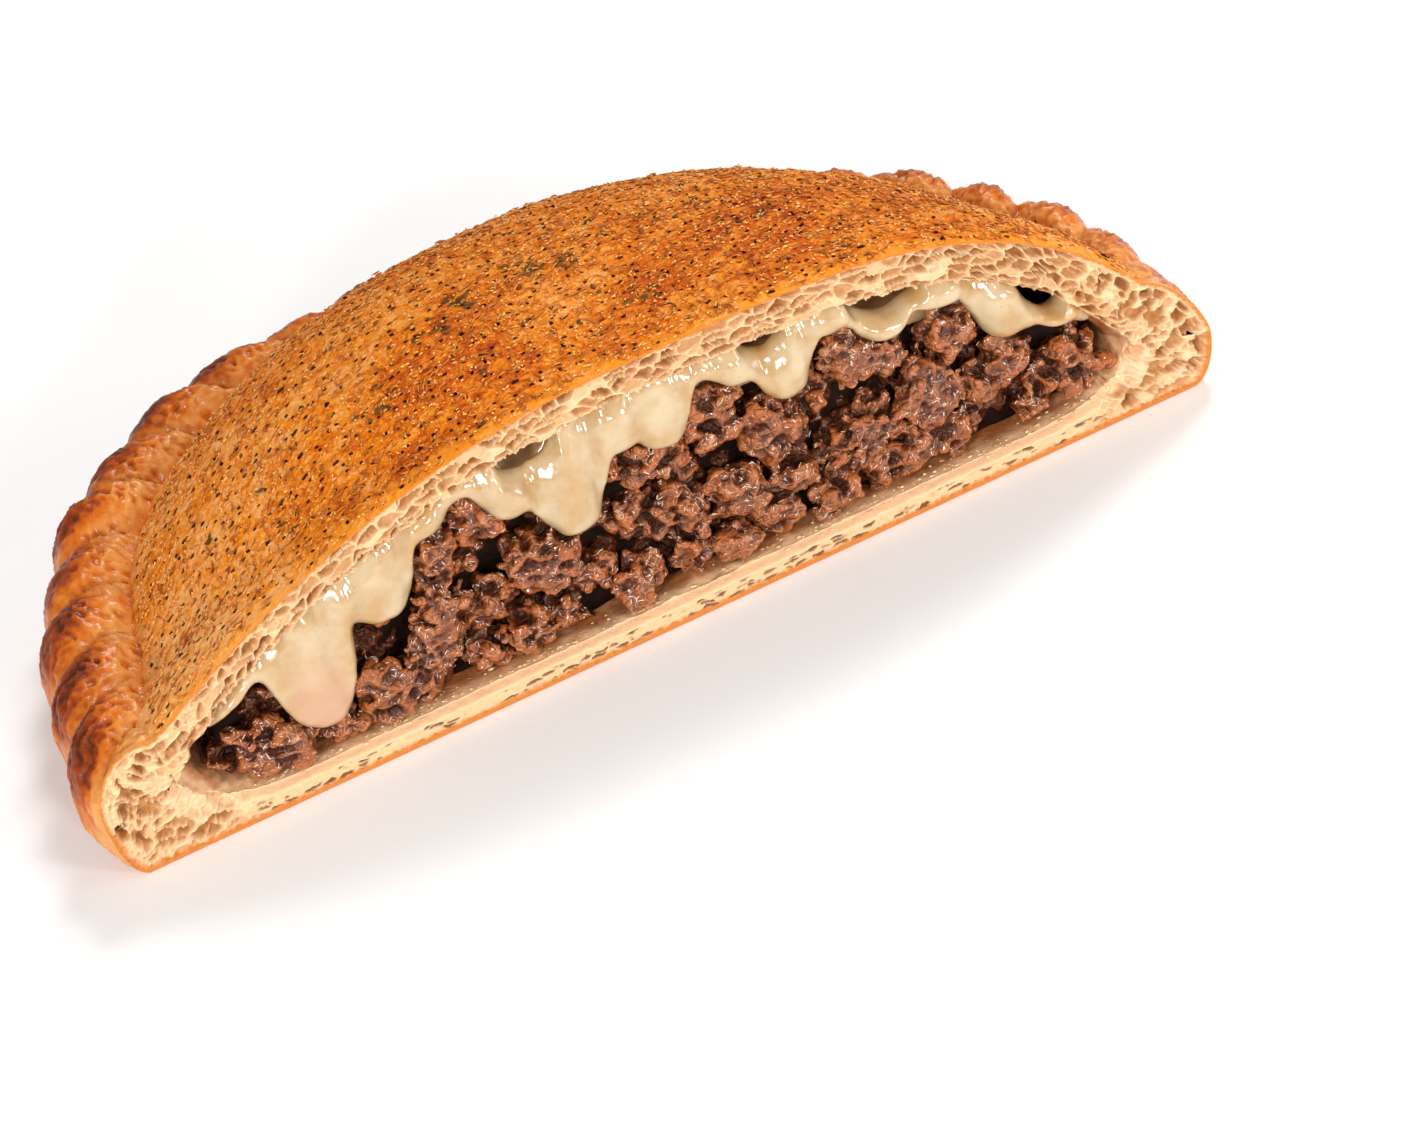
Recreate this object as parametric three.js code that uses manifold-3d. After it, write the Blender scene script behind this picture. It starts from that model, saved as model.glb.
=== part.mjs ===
// One half of a large calzone, cut straight across: a baked dough shell with a rope-crimped rim,
// and a filling of melted cheese over chopped beef steak that shows at the cut.
// Millimetres, +Z up. The half stands on its flat base at z = 0. Its solids are laid out with the
// cut face on the plane y = 0, looking along -Y, and the crimped rim behind it from +X to -X. The
// finished group is then moved so that the origin lies under the middle of the whole half.
import * as THREE from "three";
import Module from "manifold-3d";

const wasm = await Module();
wasm.setup();

// Driving dimensions
const CENTRE_X = 3; // middle of the rays that the shell is laid out on
const REACH_LEFT = 127; // from the middle to the rim's outer side, along -X
const REACH_RIGHT = 126; // the same along +X
const DEPTH = 132; // from the cut face to the rim's outer side at the back
const SQUARE_LEFT = 2.85; // superellipse power of the outline's left half
const SQUARE_RIGHT = 1.95; // and of its right half
const CROWN_Z = 66; // top of the dome over the middle
const CROWN_LEAN = 0.8; // how much higher the dome's back and right run
const DOME_POWERS = [2, 4.2, 4]; // fullness of the dome to the left, the back and the right
const GROOVE_SHARES = [0.83, 0.885, 0.9]; // place of the groove inside the rim, likewise
const RIM_Z = 27; // top of the crimped rim
const RIM_WAIST_Z = 12; // height of the rim's widest line
const RIM_BULB = 0.56; // half width of the rim's rounded back, as a share of the rim's width
const RIM_TUCK = 0.05; // how far the rim turns in under itself, as a share of the reach
const CRIMPS = 21; // folds round the rim
const CRIMP_RISE = 5; // height of a fold over the groove beside it
const CRIMP_BULGE = 4.2; // how far a fold stands out past the groove
const CRIMP_SLANT = 0.75; // sideways run of a fold for each millimetre inward
const CRUST_TOP = 8.6; // thickness of the top crust
const CRUST_BASE = 5.5; // thickness of the bottom crust
const CAVITY_SHARE = 0.855; // outline of the hollow against the shell's outline
const CAVITY_WALL_Z = 16.5; // height of the hollow's widest line
const LAYER_SHARE = 0.72; // level of the beef in the hollow, as a share of its height
const GAP = 0.4; // clearance between neighbouring solids
const STEAK_SETBACK = 9; // from the cut face to the core behind the front pieces
const CHEESE_SETBACK = 8.5; // from the cut face to the cheese layer's own front
const MIDDLE_RISE = 13.7; // how much taller the filling stands in the middle than at its ends
const MIDDLE_X = 17; // where it is tallest
const MIDDLE_SPAN = 230; // width over which it falls away
const MIDDLE_OF_BASE = [1.84, 66.83]; // middle of the whole half in the layout, x and y
const COLOUR = { crust: "#c9772a", cheese: "#e9dcae", steak: "#5a3423" };

// Outline of the shell, on an arc-length table so that the folds are evenly spaced
const TABLE_STEPS = 720;

/** Distance from the middle to the rim's outer side in the direction theta. */
function reach(theta) {
  const c = Math.abs(Math.cos(theta));
  const s = Math.abs(Math.sin(theta));
  const right = Math.cos(theta) > 0;
  const a = right ? REACH_RIGHT : REACH_LEFT;
  const n = right ? SQUARE_RIGHT : SQUARE_LEFT;
  return Math.pow(Math.pow(c / a, n) + Math.pow(s / DEPTH, n), -1 / n);
}

/** Cumulative length of the outline from +X over half a turn, one entry for each step. */
function arcTable() {
  const lengths = [0];
  let last = [reach(0), 0];
  for (let i = 1; i <= TABLE_STEPS; i += 1) {
    const theta = (Math.PI * i) / TABLE_STEPS;
    const r = reach(theta);
    const next = [r * Math.cos(theta), r * Math.sin(theta)];
    lengths.push(lengths[i - 1] + Math.hypot(next[0] - last[0], next[1] - last[1]));
    last = next;
  }
  return lengths;
}

const ARC = arcTable();
const HALF_LENGTH = ARC[TABLE_STEPS];

/** Direction of the point at arc length s, for s over the whole mirrored loop. */
function thetaAt(s) {
  const loop = 2 * HALF_LENGTH;
  const t = ((s % loop) + loop) % loop;
  const mirrored = t > HALF_LENGTH;
  const half = mirrored ? loop - t : t;
  let low = 0;
  let high = TABLE_STEPS;
  while (high - low > 1) {
    const mid = (low + high) >> 1;
    if (ARC[mid] > half) high = mid;
    else low = mid;
  }
  const part = (half - ARC[low]) / (ARC[high] - ARC[low]);
  const theta = (Math.PI * (low + part)) / TABLE_STEPS;
  return mirrored ? -theta : theta;
}

const clamp01 = (v) => Math.min(1, Math.max(0, v));
const mix = (a, b, t) => a + (b - a) * t;

function smooth(a, b, v) {
  const t = clamp01((v - a) / (b - a));
  return t * t * (3 - 2 * t);
}

/** A value that is given at the back and at each end of the cut, blended by direction. */
function byDirection(theta, left, back, right) {
  const c = Math.cos(theta);
  return mix(back, c > 0 ? right : left, c * c);
}

/** Distance along the rim from the cut face's nearer end, and which end that is. */
function fromCut(s) {
  const loop = 2 * HALF_LENGTH;
  const t = ((s % loop) + loop) % loop;
  const half = t > HALF_LENGTH ? loop - t : t;
  return { right: half, left: HALF_LENGTH - half };
}

/** Height of the rim's top at the share of the reach, outside the groove. */
function rimTopZ(share, section) {
  const off = clamp01(Math.abs(share - section.middle) / (1 - section.middle));
  const round = Math.pow(1 - Math.pow(off, section.power), 1 / section.power);
  return RIM_WAIST_Z + (section.topZ - RIM_WAIST_Z) * round;
}

/** Section of the rim at arc length s: where the groove behind it lies and how it is rounded. */
function rimSection(s, theta) {
  const end = fromCut(s);
  const rightOpen = smooth(4, 42, end.right);
  const leftOpen = smooth(-8, 34, end.left);
  const plain = byDirection(theta, ...GROOVE_SHARES);
  const leftEnd = 1 - smooth(0, 45, end.left);
  const grooveShare = mix(mix(plain, 0.87, leftEnd), 0.895, 1 - rightOpen);
  const open = rightOpen * leftOpen;
  const section = {
    grooveShare,
    topZ: mix(30.5, mix(29.4, RIM_Z, leftOpen), rightOpen),
    middle: mix(grooveShare, 1 - (1 - grooveShare) * RIM_BULB, open),
    power: mix(1.4, mix(2, 2.3, leftOpen), rightOpen),
    folds: mix(0.12, 1, rightOpen) * mix(0.7, 1, leftOpen),
  };
  return { ...section, grooveZ: rimTopZ(grooveShare, section) };
}

/** Height of one fold's back over its width: round on top, sharp in the groove. */
function foldHeight(phase) {
  const u = phase - Math.floor(phase);
  const leaned = Math.pow(u, 0.8);
  return Math.pow(Math.sin(Math.PI * leaned), 0.75);
}

/** Height of the dome at the share of the reach, behind the groove. */
function domeZ(share, theta, section) {
  const power = byDirection(theta, ...DOME_POWERS);
  const crown = CROWN_Z + CROWN_LEAN * share * (1 + Math.cos(theta)) * 0.5;
  const fall = Math.pow(share / section.grooveShare, power);
  return section.grooveZ + (crown - section.grooveZ) * Math.max(0, 1 - fall);
}

/** A point of the shell's upper side, at a share of the reach and an arc length. */
function upperPoint(share, s) {
  const theta = thetaAt(s);
  const section = rimSection(s, theta);
  const r = reach(theta);
  const phase = ((s + CRIMP_SLANT * (1 - share) * r) * CRIMPS) / HALF_LENGTH;
  const fold = foldHeight(phase) * section.folds;
  const onRim = smooth(section.grooveShare - 0.05, section.grooveShare + 0.03, share);
  const behind = share < section.grooveShare;
  let z = behind ? domeZ(share, theta, section) : rimTopZ(share, section);
  const lift = onRim * (1 - smooth(0.93, 1, share) * 0.7);
  z += CRIMP_RISE * (fold - 0.6 * section.folds) * lift;
  const bulge = CRIMP_BULGE * (fold - 0.6 * section.folds) * smooth(section.middle, 1, share);
  const radius = r * share + bulge;
  return [CENTRE_X + radius * Math.cos(theta), radius * Math.sin(theta), z];
}

/** A point of the rim below its widest line, turned through the angle beta toward the base. */
function lowerPoint(beta, s) {
  const theta = thetaAt(s);
  const section = rimSection(s, theta);
  const r = reach(theta);
  const phase = (s * CRIMPS) / HALF_LENGTH;
  const fold = foldHeight(phase) * section.folds;
  const bulge = CRIMP_BULGE * (fold - 0.6 * section.folds) * Math.cos(beta);
  const radius = r * (1 - RIM_TUCK * (1 - Math.cos(beta))) + bulge;
  return [
    CENTRE_X + radius * Math.cos(theta),
    radius * Math.sin(theta),
    RIM_WAIST_Z * (1 - Math.sin(beta)),
  ];
}

// Solids from stacked rings

/** Joins two rings that may have different counts of points, both running the same way. */
function stitch(faces, a, b) {
  let i = 0;
  let j = 0;
  while (i < a.count || j < b.count) {
    const nextA = (i + 1) / a.count;
    const nextB = (j + 1) / b.count;
    const a0 = a.start + (i % a.count);
    const b0 = b.start + (j % b.count);
    if (j >= b.count || (i < a.count && nextA <= nextB)) {
      faces.push(a0, b0, a.start + ((i + 1) % a.count));
      i += 1;
    } else {
      faces.push(a0, b0, b.start + ((j + 1) % b.count));
      j += 1;
    }
  }
}

/** Closed surface through rings of points, from a top point to a bottom point. */
function ringSolid(top, rings, bottom) {
  const points = [...top];
  const faces = [];
  const spans = rings.map((ring) => {
    const start = points.length / 3;
    ring.forEach((p) => points.push(...p));
    return { start, count: ring.length };
  });
  const last = points.length / 3;
  points.push(...bottom);
  const first = spans[0];
  for (let i = 0; i < first.count; i += 1) {
    faces.push(0, first.start + i, first.start + ((i + 1) % first.count));
  }
  for (let k = 1; k < spans.length; k += 1) stitch(faces, spans[k - 1], spans[k]);
  const end = spans[spans.length - 1];
  for (let i = 0; i < end.count; i += 1) {
    faces.push(end.start + ((i + 1) % end.count), end.start + i, last);
  }
  return toSolid(points, faces);
}

function toSolid(points, faces) {
  const mesh = new wasm.Mesh({
    numProp: 3,
    vertProperties: new Float32Array(points),
    triVerts: new Uint32Array(faces),
  });
  return new wasm.Manifold(mesh);
}

/** Solid from a three.js geometry whose corners are shared by position. */
function solidOf(geometry) {
  const index = new Map();
  const points = [];
  const faces = [];
  const position = geometry.getAttribute("position");
  const order = geometry.index;
  const total = order ? order.count : position.count;
  for (let i = 0; i < total; i += 1) {
    const v = order ? order.getX(i) : i;
    const p = [position.getX(v), position.getY(v), position.getZ(v)];
    const key = p.map((value) => Math.round(value * 1e4)).join(",");
    if (!index.has(key)) {
      index.set(key, points.length / 3);
      points.push(...p);
    }
    faces.push(index.get(key));
  }
  const kept = [];
  for (let i = 0; i < faces.length; i += 3) {
    const [a, b, c] = faces.slice(i, i + 3);
    if (a !== b && b !== c && a !== c) kept.push(a, b, c);
  }
  return toSolid(points, kept);
}

function box(x0, x1, y0, y1, z0, z1) {
  const geometry = new THREE.BoxGeometry(x1 - x0, y1 - y0, z1 - z0);
  geometry.translate((x0 + x1) / 2, (y0 + y1) / 2, (z0 + z1) / 2);
  return solidOf(geometry);
}

/** Everything in front of the plane y = front. */
function inFront(front) {
  return box(-400, 400, -400, front, -50, 200);
}

/** Ring of points of one surface function, evenly spaced along the mirrored outline. */
function ringOf(count, pointAt, shift = 0) {
  const ring = [];
  for (let i = 0; i < count; i += 1) {
    ring.push(pointAt((2 * HALF_LENGTH * (i + 0.5)) / count - shift));
  }
  return ring;
}

// Dough shell
const DOME_RINGS = [
  [0.17, 12],
  [0.33, 22],
  [0.47, 32],
  [0.59, 44],
  [0.69, 60],
  [0.74, 90],
];
const PER_FOLD = 8; // points across one fold
const EASE_STEP = -0.32; // a ring between the dome and the groove, with half the rim's points
const RIM_STEPS = [-0.18, 0, 0.16, 0.32, 0.48, 0.63, 0.77, 0.89, 0.965];
const UNDER_STEPS = [0, 0.55, 1.1, Math.PI / 2];

function outerSolid() {
  const fine = 2 * CRIMPS * PER_FOLD;
  const rings = DOME_RINGS.map(([share, count]) => ringOf(count, (s) => upperPoint(share, s)));
  const rimRing = (step) => (s) => {
    const groove = rimSection(s, thetaAt(s)).grooveShare;
    const share = groove + (1 - groove) * step;
    return upperPoint(share, s - CRIMP_SLANT * (1 - share) * reach(thetaAt(s)));
  };
  rings.push(ringOf(fine / 2, rimRing(EASE_STEP)));
  RIM_STEPS.forEach((step) => rings.push(ringOf(fine, rimRing(step))));
  UNDER_STEPS.forEach((beta) => rings.push(ringOf(fine, (s) => lowerPoint(beta, s))));
  const flat = (share) => (s) => {
    const theta = thetaAt(s);
    const r = reach(theta) * share;
    return [CENTRE_X + r * Math.cos(theta), r * Math.sin(theta), 0];
  };
  rings.push(ringOf(72, flat(0.84)));
  rings.push(ringOf(20, flat(0.45)));
  return ringSolid([CENTRE_X, 0, CROWN_Z], rings, [CENTRE_X, 0, 0]);
}

// Hollow inside the shell

/** Height of the hollow's ceiling, at a share of the hollow's own reach. */
function ceilingZ(share, theta) {
  const section = rimSection(HALF_LENGTH / 2, theta);
  const eased = { ...section, grooveShare: 0.9, grooveZ: byDirection(theta, 28, 24, 30.5) };
  const right = Math.max(0, Math.cos(theta));
  const thick = CRUST_TOP + 3.5 * right * right * share * share;
  const dome = domeZ(share * CAVITY_SHARE, theta, eased) - thick;
  const closing = Math.sqrt(Math.max(0, 1 - Math.pow(share, 10)));
  return CAVITY_WALL_Z + (dome - CAVITY_WALL_Z) * closing;
}

/** Height of the hollow's floor, which rises to the wall in a quarter round. */
function floorZ(share) {
  const t = clamp01((share - 0.78) / 0.22);
  return CRUST_BASE + (CAVITY_WALL_Z - CRUST_BASE) * (1 - Math.sqrt(1 - t * t));
}

/** Level of the beef's top and the cheese's underside. */
function layerZ(share, theta) {
  return mix(floorZ(share), ceilingZ(share, theta), LAYER_SHARE);
}

/** Closed solid between two height functions inside the hollow, pulled in by inset. */
function hollowSolid(shares, count, upper, lower, edgeShare, inset) {
  const at = (share, height, lift) => (s) => {
    const theta = thetaAt(s);
    const r = reach(theta) * CAVITY_SHARE * share - inset * clamp01(share * 4);
    return [CENTRE_X + r * Math.cos(theta), r * Math.sin(theta), height(share, theta) + lift];
  };
  const middle = (share, theta) => (upper(share, theta) + lower(share, theta)) / 2;
  const rings = [];
  shares.forEach((share) => rings.push(ringOf(count(share), at(share, upper, -inset))));
  rings.push(ringOf(count(edgeShare), at(edgeShare, middle, 0)));
  [...shares].reverse().forEach((share) => {
    rings.push(ringOf(count(share), at(share, lower, inset)));
  });
  const top = [CENTRE_X, 0, upper(0, Math.PI / 2) - inset];
  const bottom = [CENTRE_X, 0, lower(0, Math.PI / 2) + inset];
  return ringSolid(top, rings, bottom);
}

const HOLLOW_SHARES = [0.35, 0.6, 0.78, 0.88, 0.94, 0.98];
const hollowCount = (share) => (share > 0.7 ? 56 : 28);

function hollow(inset) {
  return hollowSolid(HOLLOW_SHARES, hollowCount, ceilingZ, floorZ, 1, inset);
}

// Larger bubbles of the crumb, opened by the cut: x, z, width, height, tilt
const BUBBLES = [
  [-113.5, 14.5, 8.5, 4.2, 0.5],
  [-117.2, 9.5, 4.6, 3.2, -0.3],
  [-109.2, 8.4, 5.6, 3, 0.2],
  [-112.6, 4.6, 6.2, 2.2, 0.1],
  [-104.2, 4.2, 5.8, 2.4, -0.1],
  [-115.8, 20.2, 3.8, 3, 0.9],
  [117.2, 20.8, 6.4, 4.4, -0.9],
  [120.2, 13.6, 4.4, 5.4, 0.3],
  [115.6, 9.2, 5.2, 3.2, 0.4],
  [112.4, 27.6, 5.6, 2.6, -0.8],
  [109.2, 4.6, 6, 2.2, 0.1],
];

function bubble([x, z, width, height, tilt]) {
  const geometry = new THREE.IcosahedronGeometry(0.5, 1);
  geometry.scale(width, 5, height);
  geometry.rotateY(tilt);
  geometry.translate(x, 0.2, z);
  return solidOf(geometry);
}

function makeCrust() {
  let solid = outerSolid().subtract(hollow(0));
  solid = solid.subtract(inFront(0));
  BUBBLES.forEach((entry) => {
    solid = solid.subtract(bubble(entry));
  });
  return solid;
}

/** Extra height of the filling at x. */
function middleRise(x) {
  const c = Math.cos((Math.PI * (x - MIDDLE_X)) / MIDDLE_SPAN);
  return MIDDLE_RISE * c * c;
}

// Cheese: a layer under the ceiling with soft tongues that hang over the beef's front
// x, height of the foot over the filling's own rise, width of each tongue
const DRIPS = [
  [-89, 31, 14],
  [-80, 30, 11],
  [-73, 9.5, 12],
  [-64, 31, 11],
  [-55, 25.5, 13],
  [-43, 38.5, 13],
  [-24, 30.7, 12],
  [-12, 17.8, 13],
  [0, 31.5, 12],
  [10, 26.5, 11],
  [19, 39.5, 12],
  [28, 33.5, 12],
  [37.5, 26.5, 11],
  [49, 39, 13],
  [60, 33, 13],
  [72, 37, 13],
  [87, 25.4, 14],
  [97, 25, 13],
];
const CURTAIN_FROM = -96;
const CURTAIN_TO = 104;
const CURTAIN_STEPS = 64;
const CURTAIN_BACK = 9.5; // distance of its back from the cut face
const CURTAIN_MIN = 4.5; // least height of cheese under the ceiling
// x, width and height of the gaps left open under the ceiling
const SCOOPS = [
  [-18.5, 12, 5],
  [34, 10, 4],
  [61, 16, 5],
  [94, 9, 4.5],
];

/** Direction and share of the hollow's reach for a point of the cut face. */
function onCut(x) {
  const theta = x > CENTRE_X ? 0 : Math.PI;
  return { theta, share: Math.abs(x - CENTRE_X) / (reach(theta) * CAVITY_SHARE) };
}

function ceilingAt(x) {
  const { theta, share } = onCut(x);
  return ceilingZ(Math.min(share, 1), theta);
}

/** Lowest point of the cheese at x: each drip is a rounded tongue, and the lowest one counts. */
function cheeseEdge(x) {
  const arch = ceilingAt(x) - CURTAIN_MIN;
  return DRIPS.reduce((low, [at, foot, width]) => {
    const off = Math.abs(x - at) / (width / 2);
    return Math.min(low, foot + middleRise(at) + 0.35 * width * Math.pow(off, 3));
  }, arch);
}

/** How far the cheese bulges toward the cut at x: most over the middle of a drip. */
function cheeseBulge(x) {
  return DRIPS.reduce((most, [at, , width]) => {
    const off = Math.abs(x - at) / (width / 2);
    return Math.max(most, 1 - off * off);
  }, 0);
}

/** Section of the curtain of cheese at x, from its foot forward and up, then back and down. */
function curtainSection(x, grow) {
  const beside = [x - grow, x, x + grow];
  const low = Math.min(...beside.map(cheeseEdge)) - grow;
  const top = Math.max(ceilingAt(x) + 1.5, low + 4);
  const front = 3.6 - 2.6 * Math.max(...beside.map(cheeseBulge)) - grow;
  const back = CURTAIN_BACK + grow;
  const tall = Math.min(1, (top - low) / 14);
  return [
    [x, mix(front, back, 0.5), low],
    [x, mix(front, back, 0.14), low + 1.7 * tall],
    [x, front, low + 5 * tall],
    [x, front + 0.8, mix(low, top, 0.72)],
    [x, mix(front, back, 0.35), top],
    [x, back, top],
    [x, back, low + 3 * tall],
  ];
}

/** The cheese that hangs at the cut, lofted along x through its sections. */
function curtain(grow) {
  const rings = [];
  for (let i = 0; i <= CURTAIN_STEPS; i += 1) {
    const end = i === 0 ? -grow : grow;
    const x = mix(CURTAIN_FROM, CURTAIN_TO, i / CURTAIN_STEPS);
    rings.push(curtainSection(i % CURTAIN_STEPS === 0 ? x + end : x, grow));
  }
  const middle = (ring) => ring[0].map((_, axis) => {
    return ring.reduce((sum, p) => sum + p[axis], 0) / ring.length;
  });
  return ringSolid(middle(rings[0]), rings, middle(rings[rings.length - 1]));
}

function makeCheese(grow) {
  const layerLow = (share, theta) => mix(layerZ(share, theta), ceilingZ(share, theta), 0.05) - grow;
  const top = (share, theta) => ceilingZ(share, theta) - GAP;
  let solid = hollowSolid([0.35, 0.6, 0.78, 0.86], hollowCount, top, layerLow, 0.9, 0);
  solid = solid.subtract(inFront(CHEESE_SETBACK - grow)).add(curtain(grow));
  if (grow > 0) return solid;
  SCOOPS.forEach(([x, width, height]) => {
    const geometry = new THREE.IcosahedronGeometry(0.5, 1);
    geometry.scale(width, 16, height * 2);
    geometry.translate(x, 0, ceilingAt(x) - height * 0.15);
    solid = solid.subtract(solidOf(geometry));
  });
  return solid.intersect(hollow(GAP)).subtract(inFront(0.6));
}

// Beef: a core that fills the hollow and the chopped pieces that show at the cut
// x, height over the filling's own rise, width, height, tilt, set back
const PIECES = [
  [-88, 13.5, 13, 14, 0.2, 7],
  [-78, 22, 12, 13, -0.3, 8],
  [-82, 10.5, 11, 10, 0.4, 5.5],
  [-71, 9, 13, 8, 0, 5.5],
  [-60, 11.5, 12, 15, 0.2, 5.5],
  [-63.5, 23, 16, 11, 0.15, 9],
  [-46.5, 18, 11, 21, 0.45, 5.5],
  [-42, 31, 15, 13, -0.2, 6.5],
  [-31, 33, 10, 10, 0.3, 7],
  [-34.5, 16, 13, 14, -0.2, 6],
  [-21.5, 19, 17, 15, 0.3, 5.5],
  [-12.5, 12.5, 13, 12, -0.3, 6],
  [-29, 8.5, 11, 9, 0.1, 6],
  [-38, 8, 9, 7, 0.2, 5.5],
  [-14, 23, 11, 9, 0, 8.5],
  [1, 16.5, 14, 13, 0.3, 6],
  [6, 25.5, 15, 11, -0.1, 7.5],
  [21, 27, 13, 20, 0.15, 6],
  [21.5, 14.5, 13, 13, -0.2, 5.5],
  [10.5, 14.5, 11, 13, 0.2, 6],
  [31.5, 22, 13, 15, -0.3, 6.5],
  [33, 13, 11, 11, 0.1, 5.5],
  [54, 31, 18, 12, 0.1, 6],
  [49.5, 15, 18, 14, 0.1, 5.5],
  [66.5, 19, 13, 17, -0.5, 5.5],
  [69, 9, 11, 9, 0.1, 5.5],
  [73, 29, 13, 12, 0.2, 7.5],
  [79, 17, 10, 12, -0.1, 6.5],
  [84.5, 20, 11, 12, 0.3, 7],
  [88.5, 11, 10, 10, -0.2, 5.5],
  [99, 13.5, 13, 14, 0.2, 7],
  [42, 24, 12, 13, 0.2, 8.5],
  [60, 9, 10, 9, 0.3, 7],
  [-52, 8.5, 9, 7, 0.1, 6],
  [-4, 29, 12, 11, 0.1, 8.5],
  [-20, 7.5, 11, 8, 0.2, 6.5],
  [-4, 7.5, 11, 8, -0.2, 6],
  [8, 7.5, 10, 8, 0.3, 6.5],
  [18, 7, 10, 8, 0, 6],
  [29, 7.5, 12, 8, 0.2, 6.5],
  [42, 8, 12, 8, -0.1, 6],
  [53, 7.5, 10, 7, 0.2, 6.5],
];
const PIECE_DEPTH = 11;
const CRAG = 0.2; // how uneven a piece is, as a share of its size
const SMALL_PIECE = 150; // width times height below which a piece has fewer sides
const RISE_FROM = 0; // the rise counts in full from RISE_TO up and not at all at RISE_FROM
const RISE_TO = 26;

/** Repeatable numbers between 0 and 1. */
function randomFrom(seed) {
  let state = seed >>> 0;
  return () => {
    state = (Math.imul(state, 1664525) + 1013904223) >>> 0;
    return state / 4294967296;
  };
}

/** Torn lump of beef: a faceted ball with each corner pushed in or out. */
function beefPiece([x, z, width, height, tilt, back], number) {
  const random = randomFrom(7 + number * 31);
  const small = width * height < SMALL_PIECE;
  const geometry = small ? new THREE.DodecahedronGeometry(0.5) : new THREE.IcosahedronGeometry(0.5, 1);
  const position = geometry.getAttribute("position");
  const pushed = new Map();
  for (let i = 0; i < position.count; i += 1) {
    const p = new THREE.Vector3().fromBufferAttribute(position, i);
    const key = p.toArray().map((value) => Math.round(value * 1e3)).join(",");
    if (!pushed.has(key)) pushed.set(key, 1 + CRAG * (2 * random() - 1));
    p.multiplyScalar(1.08 * pushed.get(key));
    position.setXYZ(i, p.x, p.y, p.z);
  }
  geometry.scale(width, PIECE_DEPTH, height);
  geometry.rotateY(tilt);
  const risen = z + middleRise(x) * clamp01((z - RISE_FROM) / (RISE_TO - RISE_FROM));
  geometry.translate(x, back + 1, Math.max(risen, CRUST_BASE + height * 0.48));
  return solidOf(geometry);
}

function makeSteak() {
  const lower = (share) => floorZ(share);
  const upper = (share, theta) => layerZ(share, theta) - GAP;
  const shares = [0.35, 0.6, 0.78, 0.88, 0.94];
  let solid = hollowSolid(shares, hollowCount, upper, lower, 0.97, GAP);
  solid = solid.subtract(inFront(STEAK_SETBACK));
  PIECES.forEach((entry, number) => {
    solid = solid.add(beefPiece(entry, number));
  });
  return solid.intersect(hollow(GAP)).subtract(makeCheese(GAP)).subtract(inFront(0.8));
}

// Scene graph

/** The largest separate body of a solid, so that no loose scrap stays. */
function largest(solid) {
  const bodies = solid.decompose();
  bodies.sort((a, b) => b.volume() - a.volume());
  return bodies[0];
}

function meshOf(name, solid, colour, roughness) {
  const result = largest(solid).getMesh();
  const geometry = new THREE.BufferGeometry();
  const positions = new Float32Array(result.numVert * 3);
  for (let i = 0; i < result.numVert; i += 1) {
    for (let axis = 0; axis < 3; axis += 1) {
      positions[i * 3 + axis] = result.vertProperties[i * result.numProp + axis];
    }
  }
  geometry.setAttribute("position", new THREE.BufferAttribute(positions, 3));
  geometry.setIndex(new THREE.BufferAttribute(new Uint32Array(result.triVerts), 1));
  geometry.computeVertexNormals();
  const material = new THREE.MeshStandardMaterial({ color: colour, roughness, metalness: 0 });
  const mesh = new THREE.Mesh(geometry, material);
  mesh.name = name;
  return mesh;
}

const calzone = new THREE.Group();
calzone.name = "calzone_half";
calzone.position.set(-MIDDLE_OF_BASE[0], -MIDDLE_OF_BASE[1], 0);
calzone.add(meshOf("crust", makeCrust(), COLOUR.crust, 0.6));
calzone.add(meshOf("cheese", makeCheese(0), COLOUR.cheese, 0.25));
calzone.add(meshOf("steak", makeSteak(), COLOUR.steak, 0.35));

export default calzone;
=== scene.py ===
"""Half of a large steak and cheese calzone, cut straight across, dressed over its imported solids.

Lengths are millimetres in the layout that the solids share: the cut face is the plane y = 0 and
the crimped rim lies behind it. to_frame moves them into the row frame.
"""

import itertools
import logging
import math
from collections.abc import Callable
from dataclasses import dataclass, field
from enum import Enum

import bmesh
import bpy
import numpy as np
from mathutils import Matrix, Vector


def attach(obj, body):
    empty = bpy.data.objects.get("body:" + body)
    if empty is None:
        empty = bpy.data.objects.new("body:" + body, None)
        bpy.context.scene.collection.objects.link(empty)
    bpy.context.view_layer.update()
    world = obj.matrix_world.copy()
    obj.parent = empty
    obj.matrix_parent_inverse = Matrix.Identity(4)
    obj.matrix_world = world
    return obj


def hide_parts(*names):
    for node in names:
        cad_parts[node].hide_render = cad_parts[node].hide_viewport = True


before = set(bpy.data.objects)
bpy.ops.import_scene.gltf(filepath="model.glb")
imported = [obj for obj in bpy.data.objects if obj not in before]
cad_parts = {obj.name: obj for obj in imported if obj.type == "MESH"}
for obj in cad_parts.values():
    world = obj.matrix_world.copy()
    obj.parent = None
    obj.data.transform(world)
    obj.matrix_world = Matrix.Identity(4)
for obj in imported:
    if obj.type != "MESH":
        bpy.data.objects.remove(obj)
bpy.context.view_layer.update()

Array = np.ndarray
BMesh = bmesh.types.BMesh
Mesh = bpy.types.Mesh
Material = bpy.types.Material
Socket = bpy.types.NodeSocket

LOG = logging.getLogger("calzone")
MM = 0.001
MIDDLE_OF_BASE = np.array([1.84, 66.83, 0.0])
TINY = 1e-9
HASH_PRIMES = (374761393, 668265263, 362437)
SKIN_TURN = np.array([[0.97, 0.24], [-0.24, 0.97]]).T


class Zone(Enum):
    """Part of the bread that a cut surface belongs to."""

    TOP = "top"
    BASE = "base"


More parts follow.
